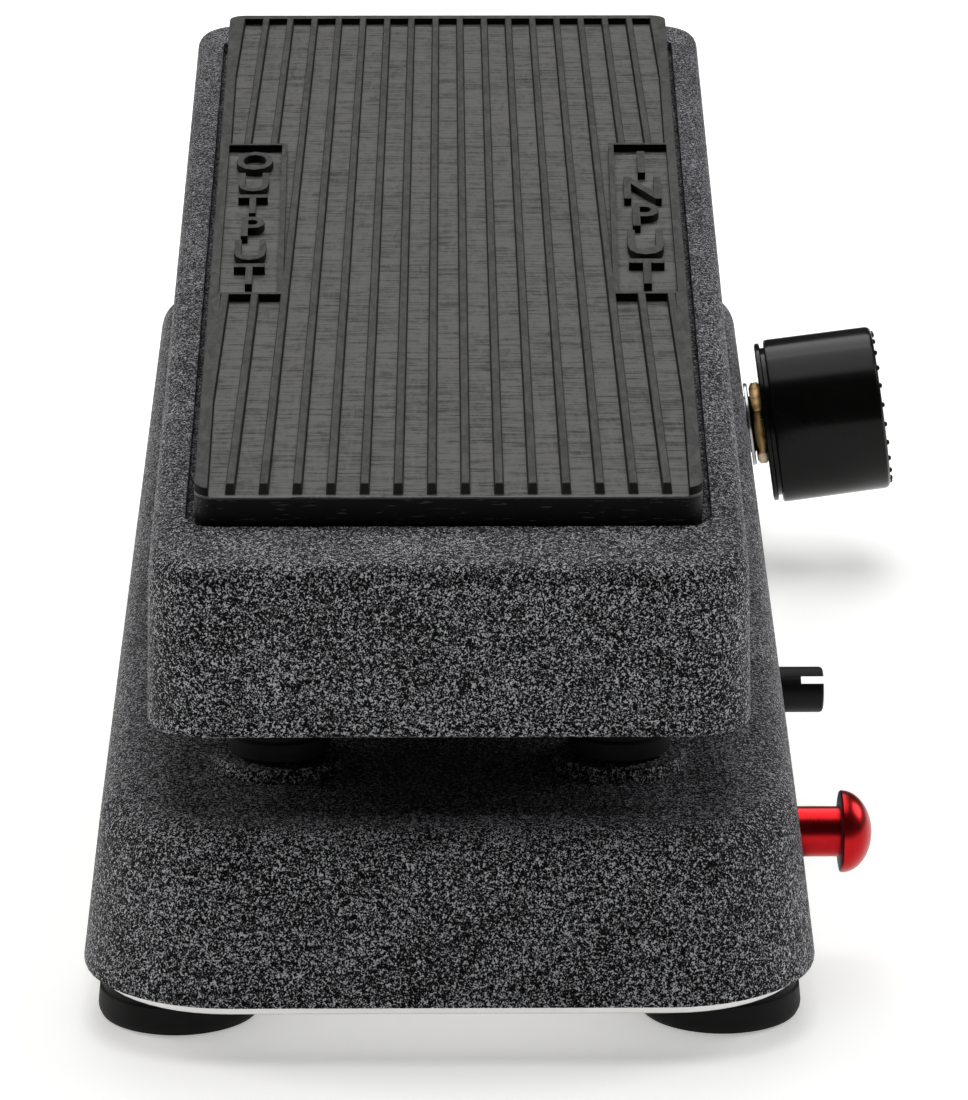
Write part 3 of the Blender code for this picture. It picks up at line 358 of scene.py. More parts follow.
def plan(name, heel_half, toe_half, heel_y, toe_y, corner, low, arcs=8):
    """A flat trapezoid with rounded corners, heel towards -Y."""
    bpy.ops.object.select_all(action="DESELECT")
    middle = (heel_y + toe_y) / 2
    bpy.ops.mesh.primitive_plane_add(size=MM, location=(0, middle * MM, low * MM),
                                     scale=(1, 1, 1))
    obj = named(name)
    obj.scale = (2 * toe_half, toe_y - heel_y, 1)
    settle(obj)
    edit(obj, "VERT", lambda vertex: vertex.co.y < middle * MM)
    bpy.ops.transform.resize(value=(heel_half / toe_half, 1, 1),
                             center_override=(0, heel_y * MM, low * MM))
    bpy.ops.mesh.select_all(action="SELECT")
    if corner:
        bpy.ops.mesh.bevel(offset=corner * MM, segments=arcs, affect="VERTICES")
    return leave(obj)


def raised(obj, rise, side=0.0, heel=0.0, toe=0.0):
    """Draws a plan up by rise, its sides, heel and toe leaning in by their angles."""
    low, high = corners(obj)
    half = (high.x - low.x) / 2
    span = high.y - low.y
    back, front = math.tan(heel) * rise, math.tan(toe) * rise
    edit(obj, "FACE")
    bpy.ops.mesh.extrude_region_move(
        TRANSFORM_OT_translate={"value": (0, (back - front) / 2 * MM, rise * MM)})
    middle = ((low.y + high.y) / 2 + (back - front) / 2) * MM
    scale = (1 - math.tan(side) * rise / half, 1 - (back + front) / span, 1)
    bpy.ops.transform.resize(value=scale, center_override=(0, middle, (low.z + rise) * MM))
    leave()
    return heal(obj)


def corners(obj):
    """A piece's lowest and highest corners, in millimetres."""
    points = [vertex.co for vertex in obj.data.vertices]
    low = Vector([min(point[axis] for point in points) for axis in range(3)])
    high = Vector([max(point[axis] for point in points) for axis in range(3)])
    return low / MM, high / MM


def sliced(obj, place, normal):
    """Cuts away what lies beyond a plane and closes the cut."""
    edit(obj)
    bpy.ops.mesh.bisect(plane_co=Vector(place) * MM, plane_no=normal, use_fill=True,
                        clear_outer=True)
    return leave(obj)


def on_plane(obj, place, normal, near=0.02):
    """A test for edges that lie in a plane."""
    direction = Vector(normal).normalized()
    points = obj.data.vertices

    def test(edge):
        return all(abs((points[index].co / MM - Vector(place)).dot(direction)) < near
                   for index in edge.vertices)
    return test


def round_loop(obj, place, normal, radius, segments):
    """Rounds the edges that lie in a plane."""
    edit(obj, "EDGE", on_plane(obj, place, normal))
    bpy.ops.mesh.bevel(offset=radius * MM, segments=segments, affect="EDGES")
    return leave(obj)


def seat(obj, body, slot, *nodes, smooth=30.0):
    """Seats a finished piece in the frame, on its body, in place of its CAD nodes."""
    obj.location = (MIDDLE * MM, 0, 0)
    if body == "treadle_unit":
        obj.rotation_euler = (TILT, 0, 0)
        obj.location.z = PIVOT * MM
    settle(obj)
    activate(obj)
    bpy.ops.object.shade_smooth_by_angle(angle=math.radians(smooth))
    if not obj.data.materials:
        obj.data.materials.append(look(slot))
    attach(obj, body)
    if nodes:
        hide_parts(*nodes)
    return obj


# ------------------------------------------------------------------ shader helpers
class Wire:
    """A shader socket; arithmetic on it adds Math nodes."""

    def __init__(self, look, socket):
        self.look = look
        self.socket = socket

    def math(self, operation, *values):
        return self.look.node("Math", {"operation": operation}, dict(enumerate(values)))

    def __add__(self, other):
        return self.math("ADD", self, other)

    def __sub__(self, other):
        return self.math("SUBTRACT", self, other)

    def __rsub__(self, other):
        return self.math("SUBTRACT", other, self)

    def __mul__(self, other):
        return self.math("MULTIPLY", self, other)

    def __truediv__(self, other):
        return self.math("DIVIDE", self, other)

    def __pow__(self, other):
        return self.math("POWER", self, other)

    __radd__ = __add__
    __rmul__ = __mul__

    def over(self, limit):
        """1 where the value is over the limit, 0 elsewhere."""
        return self.math("GREATER_THAN", self, limit)

    def ramp(self, low, high):
        """0 at low, 1 at high, eased between."""
        settings = {"interpolation_type": "SMOOTHSTEP"}
        return self.look.node("MapRange", settings, {"Value": self, "From Min": low,
                                                     "From Max": high})


class Look:
    """One procedural finish."""

    def __init__(self, name, **constants):
        self.material = bpy.data.materials.new(name)
        self.material.use_nodes = True
        self.tree = self.material.node_tree
        self.shader = self.tree.nodes["Principled BSDF"]
        for socket, value in constants.items():
            self.set(socket.replace("_", " ").title().replace("Ior", "IOR"), value)

    def set(self, socket, value):
        """Gives a socket of the shader a constant or a wire."""
        self.plug(self.shader.inputs[socket], value)

    def plug(self, socket, value):
        if isinstance(value, Wire):
            self.tree.links.new(value.socket, socket)
        elif hasattr(socket.default_value, "__len__") and len(socket.default_value) == 4:
            socket.default_value = (*tuple(value)[:3], 1.0)
        else:
            socket.default_value = value

    def node(self, kind, settings=None, inputs=None, output=0):
        """Adds a node: its type, its settings, then the values or wires of its sockets."""
        made = self.tree.nodes.new("ShaderNode" + kind)
        for key, value in (settings or {}).items():
            setattr(made, key, value)
        for key, value in (inputs or {}).items():
            self.plug(made.inputs[key], value)
        return Wire(self, made.outputs[output])

    def place(self, scale=(1, 1, 1), turn=(0, 0, 0)):
        """Object coordinates, stretched and turned."""
        where = self.node("TexCoord", output="Object")
        return self.node("Mapping", {}, {"Vector": where, "Scale": scale, "Rotation": turn})

    def noise(self, where, size, detail=2.0, rough=0.5, twist=0.0):
        """Soft noise from 0 to 1, size in millimetres."""
        return self.node("TexNoise", {}, {"Vector": where, "Scale": 1 / (size * MM),
                                          "Detail": detail, "Roughness": rough,
                                          "Distortion": twist})

    def cells(self, where, size, feature="F1", output="Distance"):
        """Rounded cells, size in millimetres."""
        return self.node("TexVoronoi", {"feature": feature}, {"Vector": where,
                                                              "Scale": 1 / (size * MM)}, output)

    def mix(self, first, second, share):
        """Two colours, mixed by a share."""
        return self.node("Mix", {"data_type": "RGBA"}, {0: share, 6: first, 7: second}, 2)

    def tones(self, tone, low, high, share):
        """One colour from low to high times its own brightness."""
        dark = [value * low for value in tone]
        light = [min(value * high, 1.0) for value in tone]
        return self.mix(dark, light, share)

    def bump(self, height, strength, depth):
        """Raises the surface by a height from 0 to 1, depth in millimetres."""
        self.set("Normal", self.node("Bump", {}, {"Height": height, "Strength": strength,
                                                  "Distance": depth * MM}))


LOOKS = {}


def look(name):
    """The finish of that name, made when it is first asked for."""
    if name not in LOOKS:
        LOOKS[name] = FINISHES[name]().material
    return LOOKS[name]


# ------------------------------------------------------------------ finishes
def powder_coat():
    """Black fine-wrinkle powder coat on a die casting, with painted highlights on its crests,
    painted shade in its valleys and painted glints.
    """
    sizes = bpy.context.scene.pedal_castings
    grain = sizes.grain / MM
    made = Look("powder coat", specular_ior_level=0.07)
    where = made.place()
    drift = made.noise(where, 9.0, 2.0)
    lumps = 1 - made.cells(where, grain * 1.15, "SMOOTH_F1")
    wrinkle = made.noise(where, grain * 1.05, 3.0, 0.62, 0.8)
    fine = made.noise(where, grain * 0.5, 2.0)
    height = lumps * 0.35 + wrinkle * 1.0 + fine * 0.35
    # painted highlight and shade: the wrinkle crests are coloured lighter and the valleys darker,
    # standing in for how light falls on them
    painted_crest_light = height.ramp(0.72, 1.12) ** 2.6
    # painted glints: light grey specks in the colour stand in for the coat's glints
    painted_glints = (wrinkle * 0.6 + fine * 0.6 + drift * 0.06).ramp(0.630, 0.755)
    body = made.tones(sizes.coat, 0.01, 2.6, painted_crest_light)
    made.set("Base Color", made.mix(body, [value * 35 for value in sizes.coat], painted_glints))
    made.set("Roughness", 0.44 - painted_crest_light * 0.14 + drift * 0.08)
    made.bump(height, 1.0, grain * 0.55)
    return made


def mat_height(made, rise):
    """Height over the mat's channels as a share of a rib's height."""
    where = made.node("TexCoord", output="Object")
    along = made.node("SeparateXYZ", {}, {"Vector": where}, "Y")
    up = made.node("SeparateXYZ", {}, {"Vector": where}, "Z")
    flat_up = (up - PIVOT * MM) * math.cos(TILT) - along * math.sin(TILT)
    return (flat_up - MAT_FLOOR * MM) / rise


def mat_rubber():
    """Moulded rubber: glossy channels with fine streaks across, scuffs, dust, painted shade on the
    rib walls and the front face, and painted glints on the front face.
    """
    sizes = bpy.context.scene.pedal_mat
    tone = sizes.rubber
    made = Look("mat rubber", specular_ior_level=0.22)
    where = made.place()
    streak = made.noise(made.place((0.20, 2.2, 2.2)), 1.5, 4.0, 0.7)
    cloud = made.noise(where, 14.0, 3.0)
    scuff = made.noise(made.place((1, 0.3, 1), (0, 0, 0.5)), 1.6, 4.0, 0.7, 1.2)
    speck = made.cells(where, 0.8, "F1").ramp(0.16, 0.05)
    nick = made.noise(made.place((0.14, 3.4, 3.4), (0, 0, 0.10)), 1.0, 2.0).ramp(0.67, 0.72)
    cross = made.noise(made.place((0.16, 3.0, 3.0), (0, 0, -0.5)), 1.3, 2.0).ramp(0.68, 0.72)
    shade = (streak * 0.9 + cloud * 0.15 + scuff * 0.35).ramp(0.50, 0.78)
    level = mat_height(made, sizes.rise)
    crown = level.ramp(0.90, 0.98)
    # painted shade: the walls between the channel floor and the rib tops are coloured near-black, as
    # if in shadow
    wall = level.ramp(0.03, 0.10) * (1 - crown)
    # painted shade: the mat's front face below the channel floor is coloured near-black, as if in
    # shadow
    face = 1 - level.ramp(-0.30, -0.12)
    channel = made.mix(made.tones(tone, 0.10, 2.5, shade), [value * 0.12 for value in tone], nick)
    channel = made.mix(channel, [value * 2.6 for value in tone], cross * 0.6)
    top = made.tones(tone, 0.22, 1.05, scuff.ramp(0.3, 0.7))
    # painted shade: near-black on the rib and letter walls
    mixed = made.mix(made.mix(channel, top, crown), (0.003, 0.003, 0.003), wall)
    # painted glints: faint light streaks on the front face stand in for reflections
    glint = made.noise(made.place((0.3, 3, 3)), 0.7, 3.0).ramp(0.62, 0.70)
    side = made.mix((0.0035, 0.0035, 0.004), (0.07, 0.07, 0.075), glint)
    made.set("Base Color", made.mix(mixed, side, face))
    made.set("Roughness", 0.38 + streak * 0.2 + cloud * 0.08 + wall * 0.3 - speck * 0.15)
    made.bump(streak * 0.6 + scuff * 0.4 + speck * 0.25 - nick * 0.4, 0.4, 0.08)
    return made


def foot_rubber():
    """Plain black rubber, faintly dusty."""
    made = Look("foot rubber", specular_ior_level=0.12)
    where = made.place()
    cloud = made.noise(where, 4.0, 3.0)
    pits = made.cells(where, 0.5, "SMOOTH_F1")
    made.set("Base Color", made.tones((0.006, 0.006, 0.006), 0.5, 2.4, cloud))
    made.set("Roughness", 0.48 + cloud * 0.2)
    made.bump(pits, 0.3, 0.06)
    return made


def sheet_steel():
    """Zinc-plated sheet with rolling marks and spangle."""
    made = Look("sheet steel", metallic=1.0)
    grain = made.noise(made.place((0.12, 3.0, 3.0)), 0.8, 3.0)
    spangle = made.cells(made.place(), 6.0, "F1", "Distance")
    made.set("Base Color", made.tones((0.72, 0.71, 0.70), 0.82, 1.1, grain * 0.6 + spangle * 0.4))
    made.set("Roughness", 0.20 + grain * 0.16 + spangle * 0.06)
    made.bump(grain, 0.12, 0.03)
    return made


def plated(name, tone, rough=0.16):
    """A plated or bare metal with fine turning marks."""
    def make():
        made = Look(name, metallic=1.0)
        where = made.place()
        haze = made.noise(where, 2.5, 3.0)
        marks = made.noise(made.place((3.0, 0.4, 0.4)), 0.5, 2.0)
        made.set("Base Color", made.tones(tone, 0.78, 1.12, haze * 0.5 + marks * 0.5))
        made.set("Roughness", rough + haze * 0.12 + marks * 0.06)
        made.bump(marks, 0.12, 0.02)
        return made
    return make


def moulding(name, tone, rough=0.30, sparkle=0.35, depth=0.03):
    """A moulded plastic: fine spark-eroded grain and slow changes of gloss."""
    def make():
        made = Look(name, specular_ior_level=0.14)
        where = made.place()
        haze = made.noise(where, 5.0, 3.0)
        grain = made.noise(where, 0.28, 2.0)
        made.set("Base Color", made.tones(tone, 0.75, 1.25, haze * 0.6 + grain * 0.4))
        made.set("Roughness", rough + haze * 0.10 + grain * 0.08)
        made.bump(grain, sparkle, depth)
        return made
    return make


def knob_gloss():
    """Glossy black moulding with handling haze."""
    made = Look("knob gloss", specular_ior_level=0.15)
    where = made.place()
    haze = made.noise(where, 7.0, 4.0, 0.6, 0.8)
    dust = made.cells(where, 0.45, "F1").ramp(0.16, 0.06) * made.noise(where, 3.0).ramp(0.5, 0.7)
    made.set("Base Color", made.tones((0.004, 0.0038, 0.0035), 0.5, 2.6, haze * 0.5 + dust * 0.5))
    made.set("Roughness", 0.12 + haze * 0.14 + dust * 0.2)
    made.bump(haze * 0.7 + dust * 0.3, 0.10, 0.05)
    return made


def anodised():
    """Bright red anodised aluminium with turning rings."""
    tone = bpy.context.scene.pedal_controls.button
    made = Look("red anodised", metallic=1.0)
    rings = made.noise(made.place((4.0, 0.15, 0.15)), 0.4, 2.0)
    haze = made.noise(made.place(), 3.0, 3.0)
    made.set("Base Color", made.tones(tone, 0.72, 1.25, rings * 0.5 + haze * 0.5))
    made.set("Roughness", 0.22 + rings * 0.10 + haze * 0.05)
    made.bump(rings, 0.18, 0.02)
    return made


def brass():
    """Dull brass, browned in the hollows."""
    tone = bpy.context.scene.pedal_controls.nut
    made = Look("brass", metallic=1.0)
    where = made.place()
    stain = made.noise(where, 1.6, 4.0)
    made.set("Base Color", made.mix([value * 0.35 for value in tone], tone,
                                    stain.ramp(0.35, 0.6)))
    made.set("Roughness", 0.45 - stain * 0.25)
    made.bump(stain, 0.2, 0.03)
    return made


def circuit_board():
    """Green solder mask over copper tracks, with tinned pads."""
    made = Look("circuit board", specular_ior_level=0.5)
    where = made.place()
    tracks = made.node("TexBrick", {"offset": 0.5}, {"Vector": where, "Scale": 1 / (14 * MM),
                                                     "Mortar Size": 0.02, "Brick Width": 0.6},
                       "Fac")
    pads = made.cells(where, 4.4).ramp(0.16, 0.13)
    fill = made.noise(where, 1.2, 3.0)
    green = made.tones((0.012, 0.13, 0.05), 0.7, 1.2, fill)
    made.set("Base Color", made.mix(made.mix(green, (0.03, 0.24, 0.09), tracks),
                                    (0.55, 0.55, 0.52), pads))
    made.set("Roughness", 0.38 - pads * 0.1 + fill * 0.1)
    made.set("Metallic", pads)
    made.bump(tracks * 0.5 + pads * 0.5, 0.3, 0.05)
    return made


def battery_case():
    """Printed steel battery case: dark body with a paler band."""
    made = Look("battery case", specular_ior_level=0.5)
    where = made.place()
    along = made.node("SeparateXYZ", {}, {"Vector": where}, "Y")
    band = (along / MM + 42.0).over(0.0)
    scuff = made.noise(where, 2.0, 4.0)
    body = made.tones((0.045, 0.05, 0.06), 0.7, 1.3, scuff)
    made.set("Base Color", made.mix(body, (0.52, 0.36, 0.13), band))
    made.set("Roughness", 0.30 + scuff * 0.14)
    made.set("Metallic", 0.25 + band * 0.45)
    made.bump(scuff, 0.1, 0.03)
    return made


def foam():
    """Open-cell foam."""
    made = Look("foam")
    pores = made.cells(made.place(), 0.9, "SMOOTH_F1")
    made.set("Base Color", made.tones((0.09, 0.09, 0.10), 0.3, 1.4, pores.ramp(0.1, 0.6)))
    made.set("Roughness", 0.85 + pores * 0.1)
    made.bump(pores, 0.9, 0.5)
    return made


FINISHES = {
    "casting_coat": powder_coat,
    "mat_rubber": mat_rubber,
    "foot_rubber": foot_rubber,
    "plate_steel": sheet_steel,
    "plated_steel": plated("plated steel", (0.66, 0.66, 0.65)),
    "pot_can": plated("pressed can", (0.55, 0.55, 0.54), 0.28),
    "brass_nut": brass,
    "black_plastic": moulding("black moulding", (0.004, 0.004, 0.0045), 0.36),
    "knob_plastic": knob_gloss,
    "red_anodised": anodised,
    "nylon": moulding("nylon", (0.74, 0.72, 0.66), 0.40, 0.2),
    "circuit_board": circuit_board,
    "inductor_case": moulding("inductor case", (0.42, 0.03, 0.02), 0.25),
    "capacitor_sleeve": moulding("capacitor sleeve", (0.02, 0.04, 0.12), 0.22, 0.15),
    "battery_case": battery_case,
    "foam": foam,
    "red_lead": moulding("red lead", (0.50, 0.02, 0.015), 0.38, 0.2),
    "black_lead": moulding("black lead", (0.012, 0.012, 0.012), 0.40, 0.2),
    "underside": plated("button underside", (0.16, 0.24, 0.25), 0.30),
}


# ------------------------------------------------------------------ base
def base_body(name, inset=0.0, drop=0.0):
    """The drafted block of the base, drawn in by inset and lowered by drop."""
    low = BASE_FLOOR - (2.0 if inset else 0.0)
    obj = plan(name, BASE_HEEL_HALF - inset, BASE_TOE_HALF - inset, HEEL_Y + inset,
               TOE_Y - inset, BASE_CORNER - inset, low, 12)
    raised(obj, ROOF_TOE + 4.0 - low, SIDE_DRAFT, HEEL_DRAFT, TOE_DRAFT)
    return sliced(obj, (0, 0, roof(0) - drop), (0, -ROOF_SLOPE, 1))


def pivot_post(side):
    """A post under the pivot: wide foot, round head."""
    inner, outer = sorted((side * 16.0, side * 22.0))
    foot = roof(0) - 1.5
    post = block("post", (inner, -11.0, foot), (outer, 11.0, PIVOT))
    edit(post, "VERT", lambda vertex: vertex.co.z > (PIVOT - 1) * MM)
    bpy.ops.transform.resize(value=(1, 6.0 / 11.0, 1), center_override=(0, 0, PIVOT * MM))
    leave()
    head = rod("head", (inner, 0, PIVOT), 6.0, outer - inner, (1, 0, 0), 40)
    return weld(post, head)


def base_additions():
    """Posts, bumper pedestals, foot bosses and board pillars, one mesh each."""
    parts = [pivot_post(-1), pivot_post(1)]
    for side in (-1, 1):
        bumper = centre("heel_bumper_right")
        top = extent("heel_bumper_right")[0].z - 0.3
        pedestal = turned("pedestal", [(8.2, -3.0), (8.2, -1.2), (7.7, -0.4), (7.4, 0.0)], 40)
        parts.append(lay(pedestal, (side * bumper.x, bumper.y, top)))
    for name in FEET:
        place = centre("foot_" + name)
        low = BASE_FLOOR + 0.3
        parts.append(rod("boss", (place.x, place.y, low), 4.0, roof(place.y) - WALL + 1.0 - low))
    for index in (1, 2, 3):
        place = extent("board_screw_%d" % index)
        low = place[0].z + 3.8
        middle = (place[0] + place[1]) / 2
        parts.append(rod("pillar", (middle.x, middle.y, low), 2.6,
                         roof(middle.y) - WALL + 1.0 - low, steps=20))
    parts.append(block("bracket pad", (-8.0, 47.0, 30.9), (5.8, 57.0, roof(47.0) - 1.2)))
    return parts


def base_holes():
    """Every hole in the base."""
    holes = []
    for side in (-1, 1):
        holes.append(rod("bush hole", (side * 10.0, 0, PIVOT), 4.8, 20, (side, 0, 0), 40))
        jack = centre("input_jack")
        holes.append(rod("jack hole", (side * 38.0, jack.y, SOCKET_Z), 5.0, 18, (side, 0, 0), 40))
    for name in FEET:
        place = centre("foot_" + name)
        holes.append(rod("thread", (place.x, place.y, 0), 2.1, 17.0, steps=16))
    for index in (1, 2, 3):
        low, high = extent("board_screw_%d" % index)
        holes.append(rod("thread", ((low.x + high.x) / 2, (low.y + high.y) / 2, low.z), 1.4,
                         high.z - low.z + 1.0, steps=12))
    holes.append(block("rack slot", (-4.0, 34.9, 26.0), (4.0, 41.4, 45.0)))
    switch = centre("footswitch_plunger")
    holes.append(rod("switch hole", (0, switch.y, 25), 6.3, 23, steps=40))
    screw = centre("bracket_screw")
    holes.append(rod("thread", (screw.x, screw.y, 28.0), 1.5, 5.9, steps=12))
    start, normal = range_axis()
    holes.append(rod("range hole", start - normal * 9.0, 4.8, 13.0, normal, 40))
    level, boost = centre("level_shaft"), centre("boost_button")
    holes.append(rod("level hole", (33.0, level.y, level.z), 3.7, 17, (1, 0, 0), 40))
    holes.append(rod("boost hole", (33.0, boost.y, boost.z), 3.6, 17, (1, 0, 0), 40))
    holes.append(rod("power hole", (-38.0, centre("dc_inlet").y, SOCKET_Z), 4.8, 18, (-1, 0, 0), 40))
    return holes


def range_axis():
    """Where the rotary control leaves the wall, and the way it points."""
    low, high = extent("range_shaft")
    taper = math.atan((BASE_TOE_HALF - BASE_HEEL_HALF) / BASE_LENGTH)
    normal = Vector((math.cos(SIDE_DRAFT) * math.cos(taper),
                     -math.cos(SIDE_DRAFT) * math.sin(taper), math.sin(SIDE_DRAFT)))
    middle = (low + high) / 2 - normal * 2.35
    return middle, normal


class PEDAL_OT_base(bpy.types.Operator):
    """Cast base: drafted shell with pivot posts, bosses and wall holes"""
    bl_idname = "pedal.base"
    bl_label = "Base"

    def execute(self, context):
        sizes = context.scene.pedal_castings
        shell = base_body("base_casting")
        round_loop(shell, (0, 0, roof(0)), (0, -ROOF_SLOPE, 1), sizes.base_edge / MM, 6)
        round_loop(shell, (0, 0, BASE_FLOOR), (0, 0, 1), 0.5, 2)
        cut(shell, base_body("cavity", WALL, WALL))
        for part in base_additions():
            weld(shell, part)
        for hole in base_holes():
            cut(shell, hole)
        heal(shell)
        seat(shell, "base", "casting_coat", "base_housing")
        level_normals(shell)
        return {"FINISHED"}


class PEDAL_OT_underside(bpy.types.Operator):
    """Bottom plate, rubber feet and their screws"""
    bl_idname = "pedal.underside"
    bl_label = "Underside"

    def execute(self, context):
        low, high = extent("bottom_plate")
        inset = 1.8
        plate = plan("plate", BASE_HEEL_HALF - inset, BASE_TOE_HALF - inset, HEEL_Y + inset,
                     TOE_Y - inset, BASE_CORNER - inset, low.z, 12)
        raised(plate, high.z - low.z)
        for name in FEET:
            place = centre("foot_" + name)
            cut(plate, rod("hole", (place.x, place.y, 0), 2.3, 10.0))
        soften(plate, 0.12, 1)
        seat(plate, "base", "plate_steel", "bottom_plate")
        for name in FEET:
            rubber_foot(name)
            foot_screw(name)
        return {"FINISHED"}


def rubber_foot(name):
    """A round foot with a moulded step, a dished sole and its screw well."""
    node = "foot_" + name
    top = extent(node)[1].z
    profile = [(2.3, 2.2), (5.0, 2.2), (5.0, 0.25), (5.3, 0.0), (8.6, 0.0), (9.2, 0.25),
               (9.45, 0.8), (9.5, 1.4), (9.3, 3.4), (9.0, 3.6), (9.0, top - 0.2),
               (8.8, top), (2.3, top), (2.3, 2.2)]
    place = centre(node)
    foot = lay(turned("rubber_" + node, profile, 56, closed=True), (place.x, place.y, 0))
    seat(foot, "base", "foot_rubber", node)


def cross_cut(place, size, depth):
    """The cutter of a cross recess, its point upwards."""
    arms = []
    for turn in (0, 1):
        half = (size, size * 0.24) if turn else (size * 0.24, size)
        arm = block("arm", (-half[0], -half[1], -1.0), (half[0], half[1], depth))
        edit(arm, "VERT", lambda vertex: vertex.co.z > 0)
        bpy.ops.transform.resize(value=(0.6, 0.6, 1), center_override=(0, 0, depth * MM))
        arms.append(leave(arm))
    return lay(weld(arms[0], arms[1]), place)


def pan_screw(name, node, head, shank, rise):
    """A pan-head screw driven upwards, with a cross recess."""
    low, high = extent(node)
    middle = (low + high) / 2
    profile = [(head * 0.55, 0.0), (head * 0.82, rise * 0.22), (head, rise * 0.62),
               (head, rise), (shank, rise), (shank, high.z - low.z - 0.6),
               (shank * 0.6, high.z - low.z)]
    screw = lay(turned(name, profile, 32), (middle.x, middle.y, low.z))
    cut(screw, cross_cut((middle.x, middle.y, low.z), head * 0.5, rise * 0.7))
    seat(screw, "base", "plated_steel", node)


def foot_screw(name):
    """The screw that holds a foot."""
    pan_screw("screw_" + name, "foot_screw_" + name, 3.8, 1.7, 1.6)


# ------------------------------------------------------------------ treadle
def skirt(y):
    """Lower edge of the treadle, flat and measured from the pivot."""
    share = (y - TREADLE_HEEL) / (TREADLE_TOE - TREADLE_HEEL)
    return TREADLE_TOP - SKIRT_HEEL + (SKIRT_HEEL - SKIRT_TOE) * share


def flat(y, z):
    """A point of the tilted treadle as its own flat (y, z)."""
    rise = z - PIVOT
    return (y * math.cos(TILT) + rise * math.sin(TILT),
            rise * math.cos(TILT) - y * math.sin(TILT))


def treadle_shell():
    """The drafted cap of the treadle, hollow below."""
    sizes = bpy.context.scene.pedal_castings
    low = skirt(TREADLE_HEEL)
    shell = plan("treadle_casting", TREADLE_HEEL_HALF, TREADLE_TOE_HALF, TREADLE_HEEL,
                 TREADLE_TOE, sizes.treadle_corner / MM, low, 10)
    raised(shell, TREADLE_TOP - low, TREADLE_DRAFT, TREADLE_DRAFT, TREADLE_DRAFT)
    lean = (SKIRT_HEEL - SKIRT_TOE) / (TREADLE_TOE - TREADLE_HEEL)
    sliced(shell, (0, TREADLE_HEEL, low), (0, lean, -1))
    round_loop(shell, (0, 0, TREADLE_TOP), (0, 0, 1), sizes.treadle_edge / MM, 6)
    round_loop(shell, (0, TREADLE_HEEL, low), (0, lean, -1), 0.6, 3)
    hollow = plan("hollow", TREADLE_HEEL_HALF - TREADLE_WALL, TREADLE_TOE_HALF - TREADLE_WALL,
                  TREADLE_HEEL + TREADLE_WALL, TREADLE_TOE - TREADLE_WALL, 4.2, low - 4.0, 6)
    raised(hollow, TREADLE_TOP - TREADLE_ROOF - low + 4.0, TREADLE_DRAFT)
    cut(shell, hollow)
    return shell


def lug(near, far, place, radius, spread):
    """A lug hanging from the treadle's roof, round about its hole."""
    inner, outer = sorted((near, far))
    y, z = place
    top = TREADLE_TOP - TREADLE_ROOF + 0.8
    web = block("web", (inner, y - spread, z), (outer, y + spread, top))
    edit(web, "VERT", lambda vertex: vertex.co.z < (z + 0.1) * MM)
    bpy.ops.transform.resize(value=(1, radius / spread, 1), center_override=(0, y * MM, z * MM))
    leave()
    eye = rod("eye", (inner, y, z), radius, outer - inner, (1, 0, 0), 36)
    return weld(web, eye)


def treadle_additions():
    """Lugs, stiffeners and bosses under the treadle."""
    parts = []
    top = TREADLE_TOP - TREADLE_ROOF + 0.8
    pin = centre("rack_pin")
    eye = flat(pin.y, pin.z)
    bumper = centre("heel_bumper_right")
    boss_y, boss_z = flat(bumper.y, extent("heel_bumper_right")[1].z + 0.35)
    for side in (-1, 1):
        parts.append(lug(side * 24.0, side * 29.0, (0.0, 0.0), 5.6, 12.0))
        parts.append(lug(side * 3.5, side * 7.5, eye, 3.6, 7.0))
        parts.append(rod("boss", (side * bumper.x, boss_y, boss_z), 7.0, top - boss_z))
        inner, outer = sorted((side * 9.4, side * 11.4))
        for heel, toe in ((-106.0, -16.0), (20.0, 84.0)):
            parts.append(block("stiffener", (inner, heel, top - 5.0), (outer, toe, top)))
    pad = flat(centre("toe_pad").y, centre("toe_pad").z)
    parts.append(rod("pad boss", (0, pad[0], pad[1] + 0.95), 8.0, top - pad[1] - 0.95))
    return parts


class PEDAL_OT_treadle(bpy.types.Operator):
    """Cast treadle: drafted cap with the mat's recess, lugs and stiffeners"""
    bl_idname = "pedal.treadle"
    bl_label = "Treadle"

    def execute(self, context):
        shell = treadle_shell()
        for part in treadle_additions():
            weld(shell, part)
        recess = plan("recess", MAT_HEEL_HALF + RECESS_GAP, MAT_TOE_HALF + RECESS_GAP,
                      MAT_HEEL - RECESS_GAP, MAT_TOE + RECESS_GAP, 3.4,
                      TREADLE_TOP - RECESS_DEPTH)
        cut(shell, raised(recess, 6.0))
        pin = centre("rack_pin")
        y, z = flat(pin.y, pin.z)
        for side in (-1, 1):
            cut(shell, rod("pin hole", (side * 22.5, 0, 0), 3.12, 9.5, (side, 0, 0), 36))
        cut(shell, rod("eye hole", (-10, y, z), 1.62, 20, (1, 0, 0), 24))
        heal(shell)
        seat(shell, "treadle_unit", "casting_coat", "treadle")
        level_normals(shell)
        return {"FINISHED"}


